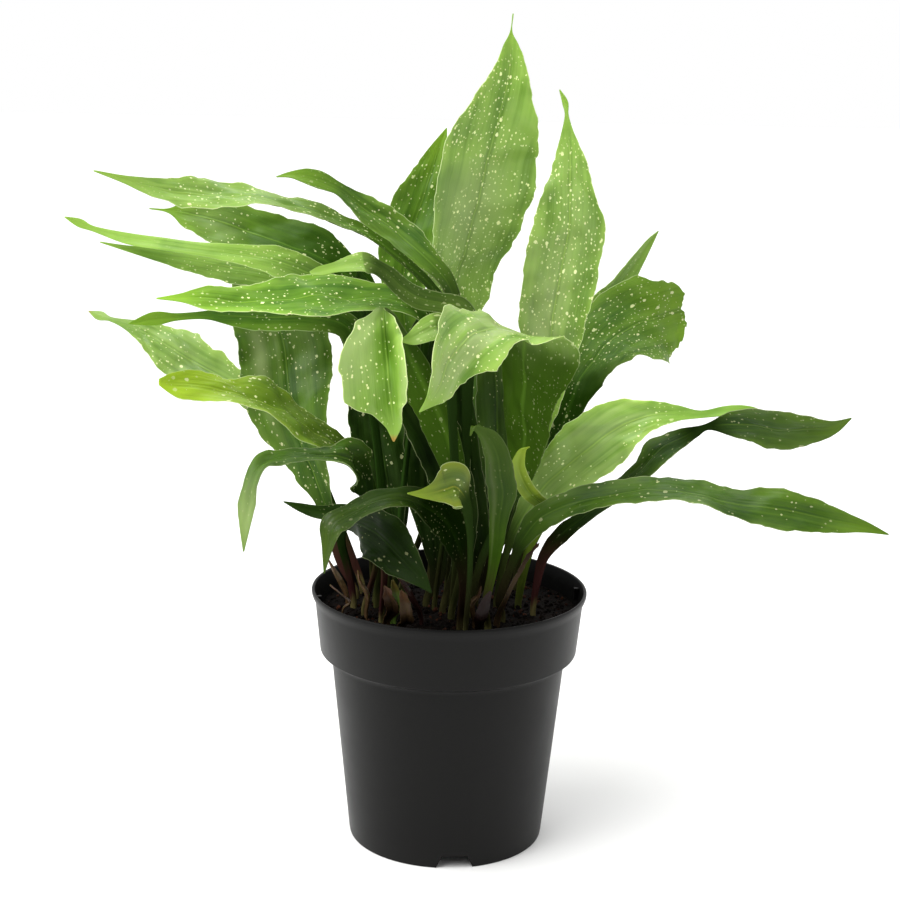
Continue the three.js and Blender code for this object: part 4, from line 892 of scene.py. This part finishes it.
def compostTree(material):
    tree, given = newGroup("compost bed", compostSizes["inputs"])
    bed = turned(tree, given["Geometry"], given["Segments"])
    here = tree.node("GeometryNodeInputPosition")
    coarse = tree.noise(here, 60, 4, 0.65)
    fine = tree.noise(here, 340, 2, 0.6)
    x, y, z = tree.parts(here)
    top = z.rise(given["Top Low"], given["Top High"])
    heave = ((coarse - 0.5) * 1.6 + (fine - 0.5)) * given["Roughness"] * top
    bed = tree.moved(bed, tree.vector(0.0, 0.0, heave), "Offset")
    inside = tree.math("LESS_THAN", x * x + y * y, given["Strewn Radius"] ** 2)
    upper = tree.math("GREATER_THAN", z, given["Strewn Height"]) * inside

    def strewn(piece, density, seed, low, high, stretch, lean):
        points = tree.node("GeometryNodeDistributePointsOnFaces", {}, {
            "Mesh": bed, "Selection": upper, "Density": density, "Seed": given["Seed"] + seed})
        turn = [tree.random(-lean, lean, seed), tree.random(-lean, lean, seed + 1),
                tree.random(0.0, 6.28, seed + 2)]
        facing = tree.node("FunctionNodeEulerToRotation", {}, {0: tree.vector(*turn)})
        size = tree.random(0.0, 1.0, seed + 3) ** 2.5 * (high - low) + low
        scale = tree.vector(size * stretch, size, size * tree.random(0.6, 1.0, seed + 4))
        made = tree.node("GeometryNodeInstanceOnPoints", {}, {
            "Points": points, "Instance": piece, "Rotation": facing, "Scale": scale})
        made = tree.node("GeometryNodeStoreNamedAttribute", {"data_type": "FLOAT", "domain": "INSTANCE"}, {
            "Geometry": made, "Name": "tone", "Value": tree.random(0.02, 1.0, seed + 5)})
        return tree.real(made)

    crumb = tree.node("GeometryNodeMeshIcoSphere", {}, {"Radius": 1.0, "Subdivisions": 1})
    lumps = tree.noise(here, 1.3, 1, 0.5).other("Color")
    lumps = tree.node("ShaderNodeVectorMath", {"operation": "SCALE"}, {0: lumps, "Scale": 0.55})
    crumb = tree.moved(crumb, lumps, "Offset")
    stick = tree.node("GeometryNodeMeshCylinder", {}, {"Vertices": 6, "Radius": 0.5, "Depth": 2.0})
    stick = tree.node("GeometryNodeTransform", {}, {"Geometry": stick, "Rotation": (0, math.pi / 2, 0)})
    crumbs = strewn(crumb, given["Crumbs"], 10, given["Crumb Low"], given["Crumb High"],
                    stretch=1.25, lean=3.1)
    sticks = strewn(stick, given["Sticks"], 30, given["Stick Low"], given["Stick High"],
                    stretch=3.4, lean=0.35)
    whole = tree.node("GeometryNodeJoinGeometry", {}, {0: [sticks, crumbs, bed]})
    return endGroup(tree, whole, material)


def compostMaterial():
    material, tree = newMaterial("compost_bed")
    place = tree.objectPlace()
    grain = tree.noise(place, 900, 3, 0.7)
    clouds = tree.noise(place, 90, 3, 0.6)
    colour = tree.mix(clouds.rise(0.35, 0.7) * 0.6 + grain * 0.3, compostLook["dark"], compostLook["brown"])
    colour = tree.mix(tree.attribute("tone").rise(0.82, 0.97), colour, compostLook["bark"])
    surface(tree, {"Base Color": colour, "Roughness": 0.95 - grain * 0.25,
                   "Normal": tree.bump(0.7, 0.0008, grain), "Specular IOR Level": compostLook["gloss"]})
    return material


bed = profileObject("compost_crumbs", compostSizes["profile"], compostTree(compostMaterial()),
                    compostSizes["inputs"])
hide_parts("compost")
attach(bed, "root")
print("compost made:", len(bed.data.vertices), "points")

# Floor, soft studio light and the camera at the photograph's viewing angle
studio = dict(floorReach=12.0, floor=(0.90, 0.90, 0.89), floorCloud=(0.84, 0.84, 0.83), middle=0.3,
              aloft=(1.0, 1.0, 1.0), front=(0.12, 0.12, 0.12),
              sunFrom=(-0.50, -0.30, 0.95), sunStrength=2.1, sunAngle=55,
              lights=[("keySoftbox", (-0.7, -0.5, 1.5), 0.9, 9), ("rearSoftbox", (0.25, 0.8, 1.5), 1.2, 6)])
cameraSizes = dict(place=(18.46, -1172.62, 543.40), yaw=-0.960, pitch=12.879, roll=1.030, lens=70.74,
                   sensor=36)

reach = studio["floorReach"]
corners = np.array([(-reach, -reach, 0), (reach, -reach, 0), (reach, reach, 0), (-reach, reach, 0)])
floorMaterial, tree = newMaterial("studio_floor")
shade = tree.mix(tree.noise(tree.objectPlace(), 3, 2) * 0.04, studio["floor"], studio["floorCloud"])
surface(tree, {"Base Color": shade, "Roughness": 0.9})
floor = meshObject("floor", corners, [(0, 1, 2, 3)], floorMaterial)

world = bpy.data.worlds.new("studio")
world.use_nodes = True
world.node_tree.nodes.clear()
tree = Tree(world.node_tree)
toward = tree.node("ShaderNodeTexCoord", out=0)
x, y, z = tree.parts(toward)
ahead = (y * 0.9 + z * 0.9).rise(-0.75, 0.05)           # darker where the photographer stands
seen = tree.node("ShaderNodeLightPath", out=0)          # the bare background shows white
glow = tree.mix(ahead.most(seen), studio["front"], studio["aloft"])
tree.node("ShaderNodeOutputWorld", {}, {"Surface": tree.node("ShaderNodeBackground", {}, {
    "Color": glow, "Strength": 1.0})})
bpy.context.scene.world = world
middle = np.array([0, 0, studio["middle"]]) + potAxis


def standing(side, up, back, place):  # the matrix of a lamp or camera that stands at place
    return Matrix(np.column_stack([side, up, back, place]).tolist() + [[0, 0, 0, 1]])


def addLamp(light, place):  # aimed at the plant's middle
    back = unit(np.array(place, float) - middle)
    side = unit(np.cross([0, 0, 1], back))
    lamp = bpy.data.objects.new(light.name, light)
    lamp.matrix_world = standing(side, np.cross(back, side), back, place)
    bpy.context.scene.collection.objects.link(lamp)


sun = bpy.data.lights.new("sun", "SUN")
sun.energy = studio["sunStrength"]
sun.angle = math.radians(studio["sunAngle"])
addLamp(sun, studio["sunFrom"])
for name, place, spread, watts in studio["lights"]:
    light = bpy.data.lights.new(name, "AREA")
    light.shape = "DISK"
    light.size = spread
    light.energy = watts
    addLamp(light, place)

yaw, pitch, roll = [math.radians(cameraSizes[name]) for name in ("yaw", "pitch", "roll")]
forward = np.array([math.sin(yaw) * math.cos(pitch), math.cos(yaw) * math.cos(pitch), -math.sin(pitch)])
level = np.array([math.cos(yaw), -math.sin(yaw), 0.0])      # to the right, before the roll
below = np.cross(forward, level)
right = math.cos(roll) * level - math.sin(roll) * below
down = math.sin(roll) * level + math.cos(roll) * below
lens = bpy.data.cameras.new("camera")
lens.sensor_width = cameraSizes["sensor"]
lens.lens = cameraSizes["lens"]
camera = bpy.data.objects.new("camera", lens)
camera.matrix_world = standing(right, -down, -forward, np.array(cameraSizes["place"]) * mm + potAxis)
bpy.context.scene.collection.objects.link(camera)
bpy.context.scene.camera = camera
bpy.context.scene.view_settings.view_transform = "Standard"
print("studio made")

print("CAD box", [[round(v, 4) for v in c] for c in cadBounds])
